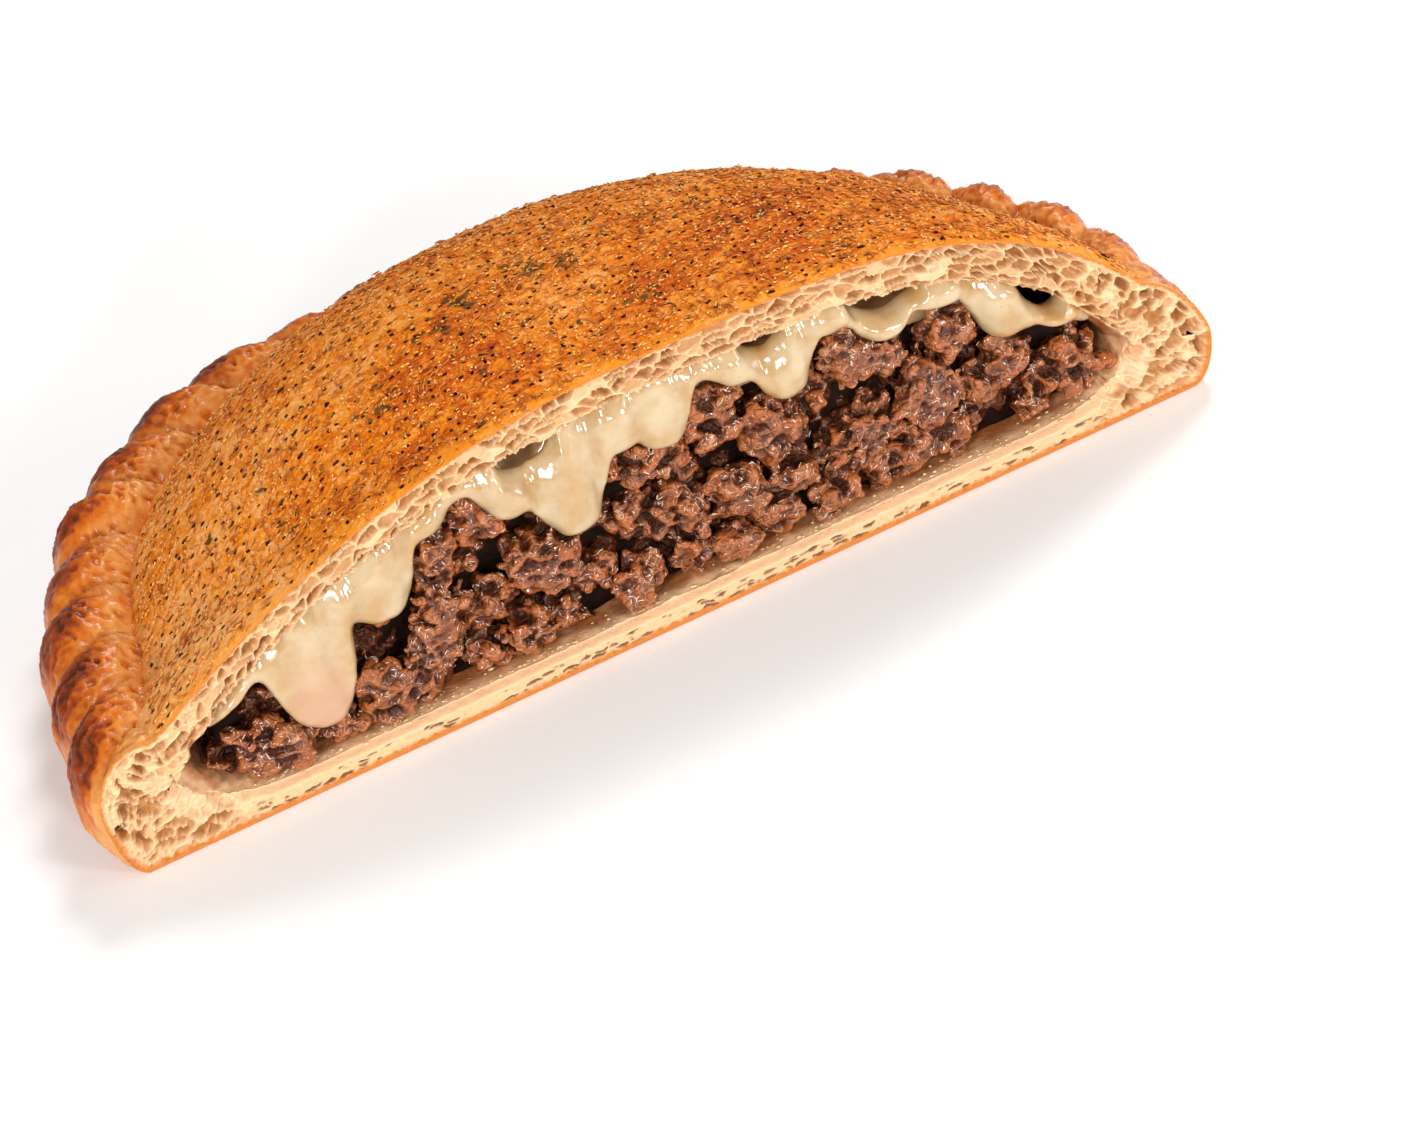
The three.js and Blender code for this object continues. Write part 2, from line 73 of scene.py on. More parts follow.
@dataclass(frozen=True)
class Tear:
    """Strands of one kind of beef: their spacing, disorder, sizes and place in the piece."""

    spacing: float
    jitter: float
    thick: tuple
    long: tuple
    power: float
    inner: float
    loose: float
    body: float


class Meat(Enum):
    """How a piece of chopped beef is torn."""

    LUMP = Tear(4.2, 0.55, (3.0, 6.0), (4.5, 10), 2.2, 0.5, 0.2, 0.72)
    SLAB = Tear(2.1, 0.3, (1.4, 2.8), (5, 10), 3.0, 0.66, 0.1, 0.84)


def mix(a: Array, b: Array, t: Array) -> Array:
    """Value between a and b at the share t."""
    return a + (b - a) * t


def smooth(low: float, high: float, value: Array) -> Array:
    """Smooth step from 0 at low to 1 at high."""
    t = np.clip((np.asarray(value, float) - low) / (high - low), 0.0, 1.0)
    return t * t * (3 - 2 * t)


def unit(vectors: Array, least: float = 0.0) -> Array:
    """Vectors brought to length one, row by row; least guards against a length of zero."""
    return vectors / (np.linalg.norm(vectors, axis=1, keepdims=True) + least)


def scrambled(cell: Array, seed: int) -> Array:
    """Whole numbers with well mixed bits for the rows of whole-number cells.

    Args:
        cell: whole-number coordinates, one row a point.
        seed: changes the whole pattern.

    Returns:
        One number a row.
    """
    key = np.full(len(cell), seed * 974634777 + 12345, np.int64)
    for column, prime in zip(cell.T, HASH_PRIMES):
        key = key + column.astype(np.int64) * prime
    key = (key ^ (key >> 13)) * 1274126177
    key = (key ^ (key >> 16)) * 60493
    return key ^ (key >> 11)


def hashed(cell: Array, seed: int) -> Array:
    """Repeatable numbers from 0 to 1 for whole-number cells."""
    return (scrambled(cell, seed) & 0xFFFFF) / float(0xFFFFF)


def noise(points: Array, scale: float, seed: int) -> Array:
    """Smooth gradient noise from about -1 to 1.

    Args:
        points: coordinates, one row a point, in two or three columns.
        scale: size of a feature, one number or one for each column.
        seed: changes the whole pattern.

    Returns:
        One number a row.
    """
    at = points / np.asarray(scale, float)
    cell = np.floor(at).astype(np.int64)
    part = at - cell
    ease = part * part * part * (part * (part * 6 - 15) + 10)
    total = np.zeros(len(points))
    for corner in itertools.product((0, 1), repeat=points.shape[1]):
        weight = np.prod(np.where(corner, ease, 1 - ease), axis=1)
        bits = scrambled(cell + np.array(corner), seed)
        for axis, side in enumerate(corner):
            slope = ((bits >> (10 * axis)) & 0x3FF) / 511.5 - 1
            total += weight * slope * (part[:, axis] - side)
    return 1.9 * total


def rough(points: Array, scale: float, seed: int, octaves: int = 3) -> Array:
    """Octaves of noise, each half the size and half the height of the last."""
    waves = (noise(points + 17.3 * k, scale / 2**k, seed + k) / 2**k for k in range(octaves))
    return sum(waves, np.zeros(len(points))) / 1.6


def sway(points: Array, scale: float, *seeds: int) -> Array:
    """Noise in one column for each seed."""
    return np.stack([noise(points, scale, seed) for seed in seeds], -1)


def cells(points: Array, seed: int, jitter: float = 0.85) -> tuple:
    """Distances to the nearest and second nearest of jittered lattice points.

    Args:
        points: coordinates in cells, one row a point, in two or three columns.
        seed: changes the whole pattern.
        jitter: how far the lattice points stray from the middle of their cells.

    Returns:
        Nearest distance, second nearest distance, and a random number for the nearest one.
    """
    base = np.floor(points).astype(np.int64)
    first, second = np.full((2, len(points)), 9.0)
    ident = np.zeros(len(points))
    for step in itertools.product((-1, 0, 1), repeat=points.shape[1]):
        cell = base + np.array(step)
        stray = np.stack([hashed(cell, seed + 11 * axis) for axis in range(len(step))], -1) - 0.5
        apart = np.sqrt(sum(((cell + 0.5 + stray * jitter - points) ** 2).T))
        nearer = apart < first
        second = np.where(nearer, first, np.minimum(second, apart))
        ident = np.where(nearer, hashed(cell, seed + 77), ident)
        first = np.where(nearer, apart, first)
    return first, second, ident


def linear(shade: str) -> tuple:
    """Linear colour with alpha of a screen colour such as #c9772a."""
    parts = [int(shade[i : i + 2], 16) / 255 for i in (1, 3, 5)]
    return (*[c / 12.92 if c <= 0.04045 else ((c + 0.055) / 1.055) ** 2.4 for c in parts], 1.0)


class Painter:
    """Builds one procedural material node by node, with sizes in millimetres."""

    def __init__(self, name: str) -> None:
        """Starts a material that holds a Principled shader and Object coordinates.

        Args:
            name: name of the material.
        """
        self.material = bpy.data.materials.new(name)
        self.material.use_nodes = True
        self.tree = self.material.node_tree
        self.shader = self.tree.nodes["Principled BSDF"]
        self.place = self.tree.nodes.new("ShaderNodeTexCoord").outputs["Object"]

    def fill(self, node: bpy.types.Node, inputs: dict) -> None:
        """Links or sets a node's inputs.

        Args:
            node: the node.
            inputs: outputs, plain values or screen colours, by the input's name or number.
        """
        for name, value in inputs.items():
            if isinstance(value, Socket):
                self.tree.links.new(value, node.inputs[name])
            else:
                node.inputs[name].default_value = linear(value) if isinstance(value, str) else value

    def node(self, kind: str, inputs: dict, **options: str) -> bpy.types.Node:
        """New node.

        Args:
            kind: its type, without the prefix.
            inputs: as for fill.
            options: its properties.

        Returns:
            The node.
        """
        node = self.tree.nodes.new("ShaderNode" + kind)
        for name, value in options.items():
            setattr(node, name, value)
        self.fill(node, inputs)
        return node

    def attribute(self, name: str) -> Socket:
        """Number that is stored on the piece's points."""
        return self.node("Attribute", {}, attribute_name=name).outputs["Fac"]

    def turned(self, scale: tuple, angle: float) -> Socket:
        """Object coordinates stretched by scale and turned about Z by angle degrees."""
        inputs = {"Scale": scale, "Rotation": (0, 0, math.radians(angle)), "Vector": self.place}
        return self.node("Mapping", inputs).outputs["Vector"]

    def grain(self, size: float, detail: float = 3.0, where: Socket = None, twist: float = 0.0) -> Socket:
        """Noise from 0 to 1 with features of a size, octaves of detail and a twist."""
        inputs = {"Scale": 1 / (size * MM), "Detail": detail, "Distortion": twist}
        return self.node("TexNoise", {**inputs, "Vector": where or self.place}).outputs["Fac"]

    def scales(self, size: float, feature: str = "F1") -> Socket:
        """Distances in Voronoi cells of a size."""
        inputs = {"Scale": 1 / (size * MM), "Vector": self.place}
        return self.node("TexVoronoi", inputs, feature=feature).outputs["Distance"]

    def maths(self, kind: str, a: Socket, b: float, clamp: bool = False) -> Socket:
        """Result of one arithmetic step on outputs or plain numbers."""
        return self.node("Math", {0: a, 1: b}, operation=kind, use_clamp=clamp).outputs[0]

    def varied(self, name: str, *waves: tuple) -> Socket:
        """Stored number with waves added to it.

        Args:
            name: name of the number.
            waves: pairs of an output from 0 to 1 and how far it reaches.

        Returns:
            The sum.
        """
        total = self.attribute(name)
        for wave, reach in waves:
            total = self.maths("ADD", total, self.maths("MULTIPLY", self.maths("SUBTRACT", wave, 0.5), reach))
        return total

    def span(self, value: Socket, low: float, high: float, start: float = 0.0, end: float = 1.0) -> Socket:
        """Value from low to high mapped to start to end, clamped, along a smooth curve."""
        inputs = {"Value": value, "From Min": low, "From Max": high, "To Min": start, "To Max": end}
        return self.node("MapRange", inputs, interpolation_type="SMOOTHSTEP").outputs["Result"]

    def ramp(self, value: Socket, stops: tuple) -> Socket:
        """Colour ramp.

        Args:
            value: where to read it.
            stops: pairs of place and screen colour.

        Returns:
            The colour.
        """
        node = self.node("ValToRGB", {"Fac": value})
        slots = node.color_ramp.elements
        while len(slots) < len(stops):
            slots.new(0.5)
        for slot, (place, shade) in zip(slots, stops):
            slot.position = place
            slot.color = linear(shade)
        return node.outputs["Color"]

    def blend(self, share: Socket, a: Socket, b: str) -> Socket:
        """Colour a blended with b by share; each is an output or a screen colour."""
        return self.node("Mix", {0: share, 6: a, 7: b}, data_type="RGBA").outputs[2]

    def bump(self, *heights: tuple, onto: str = "Normal") -> None:
        """Chains bumps onto one of the shader's normals.

        Args:
            heights: pairs of a height output and its depth.
            onto: name of the normal.
        """
        last = {}
        for height, depth in heights:
            node = self.node("Bump", {"Strength": 1.0, "Distance": depth * MM, "Height": height, **last})
            last = {"Normal": node.outputs["Normal"]}
        self.fill(self.shader, {onto: last["Normal"]})

    def finish(self, colour: Socket, roughness: Socket, **others: float) -> Material:
        """Fills the shader's sockets.

        Args:
            colour: output or screen colour.
            roughness: output or number.
            others: other sockets by name, with underscores for spaces.

        Returns:
            The material.
        """
        named = {name.replace("_", " "): value for name, value in others.items()}
        self.fill(self.shader, {"Base Color": colour, "Roughness": roughness, **named})
        return self.material


@dataclass(frozen=True)
class BakedFinish:
    """Browned, blistered skin of the dome and the base."""

    tones: tuple = ((0.0, "#f4b06a"), (0.34, "#ee8a12"), (0.66, "#c85408"), (1.0, "#702604"))
    yellow: str = "#f59a22"
    blister: str = "#f3cb84"
    # Painted shade inside the pits.
    pit: str = "#1d0b03"
    gloss: tuple = (0.42, 0.62)

    def material(self, name: str) -> Material:
        """Material that reads how far each point is baked, its nearness to the cut and the painted shade of
        its pits.

        Args:
            name: name of the material.

        Returns:
            The material.
        """
        p = Painter(name)
        streak = p.turned((0.85, 1.0, 1.0), 14)
        fine = p.grain(0.8, 4, streak, 1.1)
        mottled = p.grain(3.2, 5, streak, 1.2)
        speck = p.scales(0.8)
        skin = p.ramp(p.varied("bake", (mottled, 1.25), (fine, 1.15)), self.tones)
        edge = p.maths("MULTIPLY", p.attribute("edge"), p.span(fine, 0.35, 0.65, 0.35, 0.8))
        skin = p.blend(edge, skin, self.yellow)
        skin = p.blend(p.span(speck, 0.16, 0.05, 0.0, 0.45), skin, self.blister)
        skin = p.blend(p.attribute("pit"), skin, self.pit)
        p.bump((mottled, 0.5), (fine, 0.34), (speck, 0.12))
        return p.finish(skin, p.span(mottled, 0.2, 0.8, *self.gloss), Specular_IOR_Level=0.1)


@dataclass(frozen=True)
class RimFinish:
    """Glossy washed skin of the crimped rim, dark on the crests and golden in the folds."""

    tones: tuple = ((0.0, "#e2984c"), (0.4, "#d06a10"), (0.74, "#953a08"), (1.0, "#521e05"))
    gloss: tuple = (0.24, 0.44)

    def material(self, name: str) -> Material:
        """Material that reads how far each point is browned.

        Args:
            name: name of the material.

        Returns:
            The material.
        """
        p = Painter(name)
        fine = p.grain(0.8, 4, None, 0.5)
        patch = p.grain(4.5, 4, None, 0.8)
        skin = p.ramp(p.varied("bake", (patch, 0.55), (fine, 0.22)), self.tones)
        p.bump((patch, 0.5), (fine, 0.16))
        coat = {"Coat_Weight": 0.2, "Coat_Roughness": 0.12, "Specular_IOR_Level": 0.2}
        return p.finish(skin, p.span(patch, 0.2, 0.8, *self.gloss), **coat)


@dataclass(frozen=True)
class CrumbFinish:
    """Open cream crumb, moist at the filling."""

    ridge: str = "#eac296"
    cell: str = "#ac7236"
    patch: str = "#e2b684"
    # Painted shade inside the flat holes of the base.
    hole: str = "#64360f"
    rind: str = "#c4741c"
    juice: str = "#a0521a"
    wet: str = "#eec296"

    def material(self, name: str) -> Material:
        """Material that reads the depth of the cells, painted as shade that darkens them, the rind, the
        painted shade of the holes and the moisture.

        Args:
            name: name of the material.

        Returns:
            The material.
        """
        p = Painter(name)
        patch = p.grain(5.0, 3)
        # Painted shade: deeper cells take the darker cell colour.
        bread = p.blend(p.attribute("depth"), self.ridge, self.cell)
        bread = p.blend(p.span(patch, 0.35, 0.75, 0.0, 0.35), bread, self.patch)
        bread = p.blend(p.attribute("wet"), bread, self.wet)
        stain = p.maths("MULTIPLY", p.attribute("juice"), p.span(patch, 0.2, 0.6, 0.55, 1.0), True)
        bread = p.blend(stain, bread, self.juice)
        bread = p.blend(p.attribute("rind"), bread, self.rind)
        bread = p.blend(p.attribute("hole"), bread, self.hole)
        p.bump((p.grain(0.7, 4), 0.12), (p.grain(1.8, 3), 0.3))
        glow = {"Subsurface_Weight": 0.35, "Subsurface_Radius": (1.0, 0.6, 0.3), "Subsurface_Scale": 0.0016}
        return p.finish(bread, p.span(p.attribute("wet"), 0.1, 0.9, 0.62, 0.2), **glow)


@dataclass(frozen=True)
class CheeseFinish:
    """Melted pale cheese with a wet gloss and a few specks."""

    cream: str = "#c4ae8a"
    shade: str = "#b48c54"
    speck: str = "#b77a3c"
    meaty: str = "#c7977a"

    def material(self, name: str) -> Material:
        """Material that reads where the cheese is mixed with juice.

        Args:
            name: name of the material.

        Returns:
            The material.
        """
        p = Painter(name)
        patch = p.grain(7.0, 3)
        curd = p.blend(p.span(patch, 0.3, 0.75), self.cream, self.shade)
        curd = p.blend(p.span(p.scales(2.6), 0.085, 0.05, 0.0, 0.7), curd, self.speck)
        curd = p.blend(p.attribute("juice"), curd, self.meaty)
        p.bump((patch, 0.6), (p.grain(1.6, 3), 0.05))
        p.bump((p.grain(8.0, 0.5), 0.6), onto="Coat Normal")
        glow = {"Subsurface_Weight": 0.55, "Subsurface_Radius": (1.0, 0.7, 0.42), "Subsurface_Scale": 0.0028}
        coat = {"Coat_Weight": 1.0, "Coat_Roughness": 0.07, "Specular_IOR_Level": 0.5}
        return p.finish(curd, p.span(patch, 0.2, 0.8, 0.12, 0.2), **glow, **coat)


@dataclass(frozen=True)
class BeefFinish:
    """Browned beef, wet with its juice."""

    # Painted shade and light: the ramp runs from dark where a point sinks into a crease to light where it
    # stands out.
    tones: tuple = ((0.03, "#2c1207"), (0.44, "#57260c"), (1.0, "#a85a28"))
    patch: str = "#552a17"
    # Painted highlight: a pale line colour along the plates' borders where the meat stands out.
    painted_glint_line: str = "#c8946e"
    gloss: tuple = (0.3, 0.46)

    def material(self, name: str) -> Material:
        """Material that reads how far each point stands out of its piece, as painted shade: dark in creases
        and deep in the heap, light on the crests.

        Args:
            name: name of the material.

        Returns:
            The material.
        """
        p = Painter(name)
        fine = p.grain(0.7, 4, None, 0.6)
        patch = p.grain(5.0, 3)
        crag = p.varied("crag", (fine, 0.2))
        meat = p.blend(p.span(patch, 0.45, 0.75, 0.0, 0.5), p.ramp(crag, self.tones), self.patch)
        borders = p.scales(1.9, "DISTANCE_TO_EDGE")
        plates = p.span(borders, 0.0, 0.25)
        # Painted highlight: thin pale lines along the plates' borders on the parts that stand out, in
        # patches.
        lines = p.maths("MULTIPLY", p.span(borders, 0.0, 0.07, 0.55, 0.0), p.span(crag, 0.4, 0.7))
        meat = p.blend(p.maths("MULTIPLY", lines, p.span(patch, 0.4, 0.55)), meat, self.painted_glint_line)
        p.bump((plates, 0.34), (fine, 0.03))
        p.bump((p.grain(2.4, 0.4, None, 1.0), 0.36), (plates, 0.16), onto="Coat Normal")
        glow = {"Subsurface_Weight": 0.08, "Subsurface_Radius": (1.0, 0.3, 0.2), "Subsurface_Scale": 0.001}
        coat = {"Coat_Weight": p.span(crag, 0.15, 0.55, 0.12, 0.95), "Coat_Roughness": 0.09}
        return p.finish(meat, p.span(fine, 0.3, 0.7, *self.gloss), Specular_IOR_Level=0.12, **glow, **coat)


@dataclass(frozen=True)
class PlainFinish:
    """Small scattered bits: one colour that wanders between two shades."""

    light: str
    dark: str
    gloss: float = 0.5
    shine: float = 0.3

    def material(self, name: str) -> Material:
        """Material that wanders from bit to bit.

        Args:
            name: name of the material.

        Returns:
            The material.
        """
        p = Painter(name)
        tone = p.span(p.grain(3.0, 3), 0.3, 0.7)
        p.bump((p.grain(0.5, 2), 0.06))
        return p.finish(p.blend(tone, self.light, self.dark), self.gloss, Specular_IOR_Level=self.shine)


@dataclass
class Shell:
    """Form of the dough shell, in the same named sizes as the solids.

    A share runs from 0 in the middle to 1 at the rim's outer side, theta is a direction from the
    middle, and arc is a length along the outline from the right end of the cut.
    """

    centre_x: float = 3.0
    reach_left: float = 127.0
    reach_right: float = 126.0
    depth: float = 132.0
    square_left: float = 2.85
    square_right: float = 1.95
    crown_z: float = 66.0
    crown_lean: float = 0.8
    dome_powers: tuple = (2, 4.2, 4)
    groove_shares: tuple = (0.83, 0.885, 0.9)
    rim_z: float = 27.0
    waist_z: float = 12.0
    rim_bulb: float = 0.56
    rim_tuck: float = 0.05
    crimps: int = 21
    crimp_rise: float = 5.0
    crimp_bulge: float = 4.2
    crimp_slant: float = 0.75
    crust_top: float = 8.6
    crust_base: float = 5.5
    cavity_share: float = 0.855
    cavity_wall_z: float = 16.5
    table_steps: int = 1440

    def __post_init__(self) -> None:
        """Makes the table of arc lengths along the outline."""
        self.thetas = np.linspace(0, math.pi, self.table_steps + 1)
        r = self.reach(self.thetas)
        x, y = r * np.cos(self.thetas), r * np.sin(self.thetas)
        self.arcs = np.concatenate([[0], np.cumsum(np.hypot(np.diff(x), np.diff(y)))])
        self.half = float(self.arcs[-1])

    def reach(self, theta: Array) -> Array:
        """Distance from the middle to the rim's outer side in the direction theta.

        Args:
            theta: direction.

        Returns:
            Distance for each direction.
        """
        c, s = np.abs(np.cos(theta)), np.abs(np.sin(theta))
        right = np.cos(theta) > 0
        a = np.where(right, self.reach_right, self.reach_left)
        n = np.where(right, self.square_right, self.square_left)
        return ((c / a) ** n + (s / self.depth) ** n) ** (-1 / n)

    def theta_at(self, arc: Array) -> Array:
        """Direction of a point at an arc length."""
        return np.interp(arc, self.arcs, self.thetas)

    def arc_at(self, theta: Array) -> Array:
        """Arc length of a direction."""
        return np.interp(theta, self.thetas, self.arcs)

    @staticmethod
    def by_direction(theta: Array, left: float, back: float, right: float) -> Array:
        """Value given at the back and at both ends of the cut, blended by direction."""
        c = np.cos(theta)
        return mix(back, np.where(c > 0, right, left), c * c)

    def rim_top(self, share: Array, section: dict) -> Array:
        """Height of the rim's top outside the groove.

        Args:
            share: share of the reach.
            section: sizes of the rim there.

        Returns:
            Height of each point.
        """
        middle, power = section["middle"], section["power"]
        off = np.clip(np.abs(share - middle) / (1 - middle), 0, 1)
        return self.waist_z + (section["top"] - self.waist_z) * (1 - off**power) ** (1 / power)

    def section(self, arc: Array, theta: Array) -> dict:
        """Sizes of the rim's section.

        Args:
            arc: arc length.
            theta: its direction.

        Returns:
            Share of the groove and of the rim's middle, heights, power and strength of the folds.
        """
        left = self.half - arc
        right_open, left_open = smooth(4, 42, arc), smooth(-8, 34, left)
        plain = self.by_direction(theta, *self.groove_shares)
        groove = mix(mix(plain, 0.87, 1 - smooth(0, 45, left)), 0.895, 1 - right_open)
        part = {
            "groove": groove,
            "top": mix(30.5, mix(29.4, self.rim_z, left_open), right_open),
            "middle": mix(groove, 1 - (1 - groove) * self.rim_bulb, right_open * left_open),
            "power": mix(1.4, mix(2, 2.3, left_open), right_open),
            "folds": mix(0.12, 1, right_open) * mix(0.7, 1, left_open),
        }
        return {**part, "groove_z": self.rim_top(groove, part)}

    def dome_z(self, share: Array, theta: Array, section: dict, deeper: bool = False) -> Array:
        """Height of the dome.

        Args:
            share: share of the reach.
            theta: direction.
            section: sizes of the rim there.
            deeper: whether it runs on below the groove.

        Returns:
            Height of each point.
        """
        power = self.by_direction(theta, *self.dome_powers)
        crown = self.crown_z + self.crown_lean * share * (1 + np.cos(theta)) * 0.5
        left = 1 - (share / section["groove"]) ** power
        left = left if deeper else np.maximum(0, left)
        return section["groove_z"] + (crown - section["groove_z"]) * left

    def phase(self, share: Array, arc: Array, theta: Array) -> Array:
        """Place in the row of folds, whose whole part numbers the fold."""
        return (arc + self.crimp_slant * (1 - share) * self.reach(theta)) * self.crimps / self.half

    @staticmethod
    def fold_height(phase: Array) -> Array:
        """Height of a fold's back over its width, from 0 to 1."""
        u = phase - np.floor(phase)
        return np.sin(math.pi * u**0.8) ** 0.75

    def upper(self, share: Array, arc: Array, fold: Array = None) -> Array:
        """Points of the shell's upper side.

        Args:
            share: share of the reach.
            arc: arc length.
            fold: height of the fold from 0 to 1, or None for the plain even folds.

        Returns:
            The points.
        """
        theta = self.theta_at(arc)
        part = self.section(arc, theta)
        fold = self.fold_height(self.phase(share, arc, theta)) if fold is None else fold
        lift = (fold - 0.6) * part["folds"]
        on_rim = smooth(0, 1, (share - part["groove"] + 0.05) / 0.08)
        z = np.where(share < part["groove"], self.dome_z(share, theta, part), self.rim_top(share, part))
        z = z + self.crimp_rise * lift * on_rim * (1 - smooth(0.93, 1, share) * 0.7)
        onward = smooth(0, 1, (share - part["middle"]) / (1 - part["middle"]))
        return self.polar(self.reach(theta) * share + self.crimp_bulge * lift * onward, theta, z)

    def lower(self, beta: Array, arc: Array, fold: Array = None) -> Array:
        """Points of the rim below its widest line.

        Args:
            beta: angle by which a point is turned toward the base.
            arc: arc length.
            fold: height of the fold from 0 to 1, or None for the plain even folds.

        Returns:
            The points.
        """
        theta = self.theta_at(arc)
        fold = self.fold_height(arc * self.crimps / self.half) if fold is None else fold
        bulge = self.crimp_bulge * (fold - 0.6) * self.section(arc, theta)["folds"] * np.cos(beta)
        radius = self.reach(theta) * (1 - self.rim_tuck * (1 - np.cos(beta))) + bulge
        return self.polar(radius, theta, self.waist_z * (1 - np.sin(beta)))

    def polar(self, radius: Array, theta: Array, z: Array) -> Array:
        """Points from a distance and direction from the middle."""
        x = self.centre_x + radius * np.cos(theta)
        return np.stack(np.broadcast_arrays(x, radius * np.sin(theta), z), axis=-1)

    def ceiling_z(self, share: Array, theta: Array) -> Array:
        """Height of the hollow's ceiling.

        Args:
            share: share of the hollow's reach.
            theta: direction.

        Returns:
            Height of each point.
        """
        part = self.section(np.full_like(np.asarray(theta, float), self.half / 2), theta)
        part = {**part, "groove": 0.9, "groove_z": self.by_direction(theta, 28, 24, 30.5)}
        thick = self.crust_top + 3.5 * np.maximum(0, np.cos(theta)) ** 2 * share**2
        dome = self.dome_z(share * self.cavity_share, theta, part) - thick
        return self.cavity_wall_z + (dome - self.cavity_wall_z) * np.sqrt(np.maximum(0, 1 - share**10))

    def floor_z(self, share: Array) -> Array:
        """Height of the hollow's floor, which rises to the wall in a quarter round."""
        t = np.clip((share - 0.78) / 0.22, 0, 1)
        return self.crust_base + (self.cavity_wall_z - self.crust_base) * (1 - np.sqrt(1 - t * t))

    def on_cut(self, x: Array) -> tuple:
        """Share of the hollow's reach and direction of a point on the cut."""
        theta = np.where(np.asarray(x) > self.centre_x, 0.0, math.pi)
        return np.minimum(np.abs(x - self.centre_x) / (self.reach(theta) * self.cavity_share), 1), theta

    def ceiling_at(self, x: Array) -> Array:
        """Height of the ceiling over x at the cut."""
        return self.ceiling_z(*self.on_cut(x))

    def floor_at(self, x: Array) -> Array:
        """Height of the floor under x at the cut."""
        return self.floor_z(self.on_cut(x)[0])

    def outer_line(self, zone: Zone, count: int) -> Array:
        """Outer line of the cut over the dome or under the base, from the left tip to the right tip.

        Args:
            zone: which of the two.
            count: points on each of its stretches.

        Returns:
            The line as x and z.
        """
        left, right = np.full(count, self.half), np.zeros(count)
        if zone is Zone.TOP:
            shares = np.linspace(1, 0, count)
            line = [self.upper(shares, left)[:-1], self.upper(shares[::-1], right)]
        else:
            betas = np.linspace(0, math.pi / 2, count)
            ends = self.lower(betas, left), self.lower(betas[::-1], right)
            line = [ends[0], np.linspace(ends[0][-1], ends[1][0], count)[1:-1], ends[1]]
        return np.concatenate(line)[:, [0, 2]]

    def inner_line(self, zone: Zone, count: int) -> Array:
        """Line of the hollow on the cut, from its left tip to its right tip.

        Args:
            zone: its ceiling or its floor.
            count: points.

        Returns:
            The line as x and z.
        """
        side = np.sin(np.linspace(-math.pi / 2, math.pi / 2, count))
        theta = np.where(side > 0, 0.0, math.pi)
        share = np.abs(side)
        height = self.ceiling_z(share, theta) if zone is Zone.TOP else self.floor_z(share)
        x = self.centre_x + np.sign(side) * self.reach(theta) * self.cavity_share * share
        return np.stack([x, height], -1)


def to_frame(points: Array) -> Array:
    """Layout millimetres as row frame metres."""
    return (points - MIDDLE_OF_BASE) * MM


def sheet(columns: int, rows: int) -> tuple:
    """Flat grid to be mapped onto a surface.

    Args:
        columns: faces along u.
        rows: faces along v.

    Returns:
        The bmesh, and u and v of its vertices from 0 to 1.
    """
    bm = bmesh.new()
    bmesh.ops.create_grid(bm, x_segments=columns, y_segments=rows, size=0.5)
    flat = np.array([v.co[:2] for v in bm.verts]) + 0.5
    return bm, flat[:, 0], flat[:, 1]


def move(bm: BMesh, points: Array) -> None:
    """Puts a bmesh's vertices at layout points."""
    for vert, point in zip(bm.verts, to_frame(points)):
        vert.co = point


def mesh_of(name: str, bm: BMesh) -> Mesh:
    """Mesh of a bmesh, which is then freed.

    Args:
        name: name of the mesh.
        bm: the bmesh.

    Returns:
        The mesh.
    """
    mesh = bpy.data.meshes.new(name)
    bm.to_mesh(mesh)
    bm.free()
    return mesh


def shape_of(bm: BMesh) -> tuple:
    """Points and faces of a small shape, which is then freed.

    Args:
        bm: the shape.

    Returns:
        One row of coordinates a point, and lists of the faces' points.
    """
    shape = np.array([v.co[:] for v in bm.verts])
    faces = [[v.index for v in f.verts] for f in bm.faces]
    bm.free()
    return shape, faces


def points_of(mesh: Mesh) -> Array:
    """Layout points of a mesh's vertices.

    Args:
        mesh: mesh in the row frame.

    Returns:
        One row a vertex, in layout millimetres.
    """
    flat = np.zeros(len(mesh.vertices) * 3)
    mesh.vertices.foreach_get("co", flat)
    return flat.reshape(-1, 3) / MM + MIDDLE_OF_BASE


def normals_of(mesh: Mesh) -> Array:
    """Unit normals of a mesh's vertices.

    Args:
        mesh: the mesh.

    Returns:
        One row a vertex.
    """
    flat = np.zeros(len(mesh.vertices) * 3)
    mesh.vertex_normals.foreach_get("vector", flat)
    return flat.reshape(-1, 3)


def lift(mesh: Mesh, height: Array) -> None:
    """Moves a mesh's vertices out along their normals, each by its height.

    Args:
        mesh: mesh in the row frame.
        height: height of each vertex.
    """
    points = points_of(mesh) + normals_of(mesh) * height[:, None]
    mesh.vertices.foreach_set("co", to_frame(points).astype(np.float32).ravel())
    mesh.update()


def stands_out(mesh: Mesh, rounds: int) -> Array:
    """Height of each vertex over its surroundings.

    Args:
        mesh: the finished mesh.
        rounds: how often the surroundings are averaged; more reach farther.

    Returns:
        Heights, above zero on ridges and below it in creases.
    """
    count = len(mesh.vertices)
    ends = np.zeros(len(mesh.edges) * 2, np.int64)
    mesh.edges.foreach_get("vertices", ends)
    one, other = ends.reshape(-1, 2).T
    near = np.bincount(one, minlength=count) + np.bincount(other, minlength=count)
    points = points_of(mesh)
    eased = points.copy()
    for _, column in itertools.product(range(rounds), eased.T):
        total = np.bincount(one, column[other], count) + np.bincount(other, column[one], count)
        column[:] = total / np.maximum(near, 1)
    return ((points - eased) * normals_of(mesh)).sum(axis=1)


def add_object(name: str, data: bpy.types.ID) -> bpy.types.Object:
    """New object in the scene.

    Args:
        name: name of the object.
        data: its mesh, lamp or camera.

    Returns:
        The object.
    """
    thing = bpy.data.objects.new(name, data)
    bpy.context.scene.collection.objects.link(thing)
    return thing


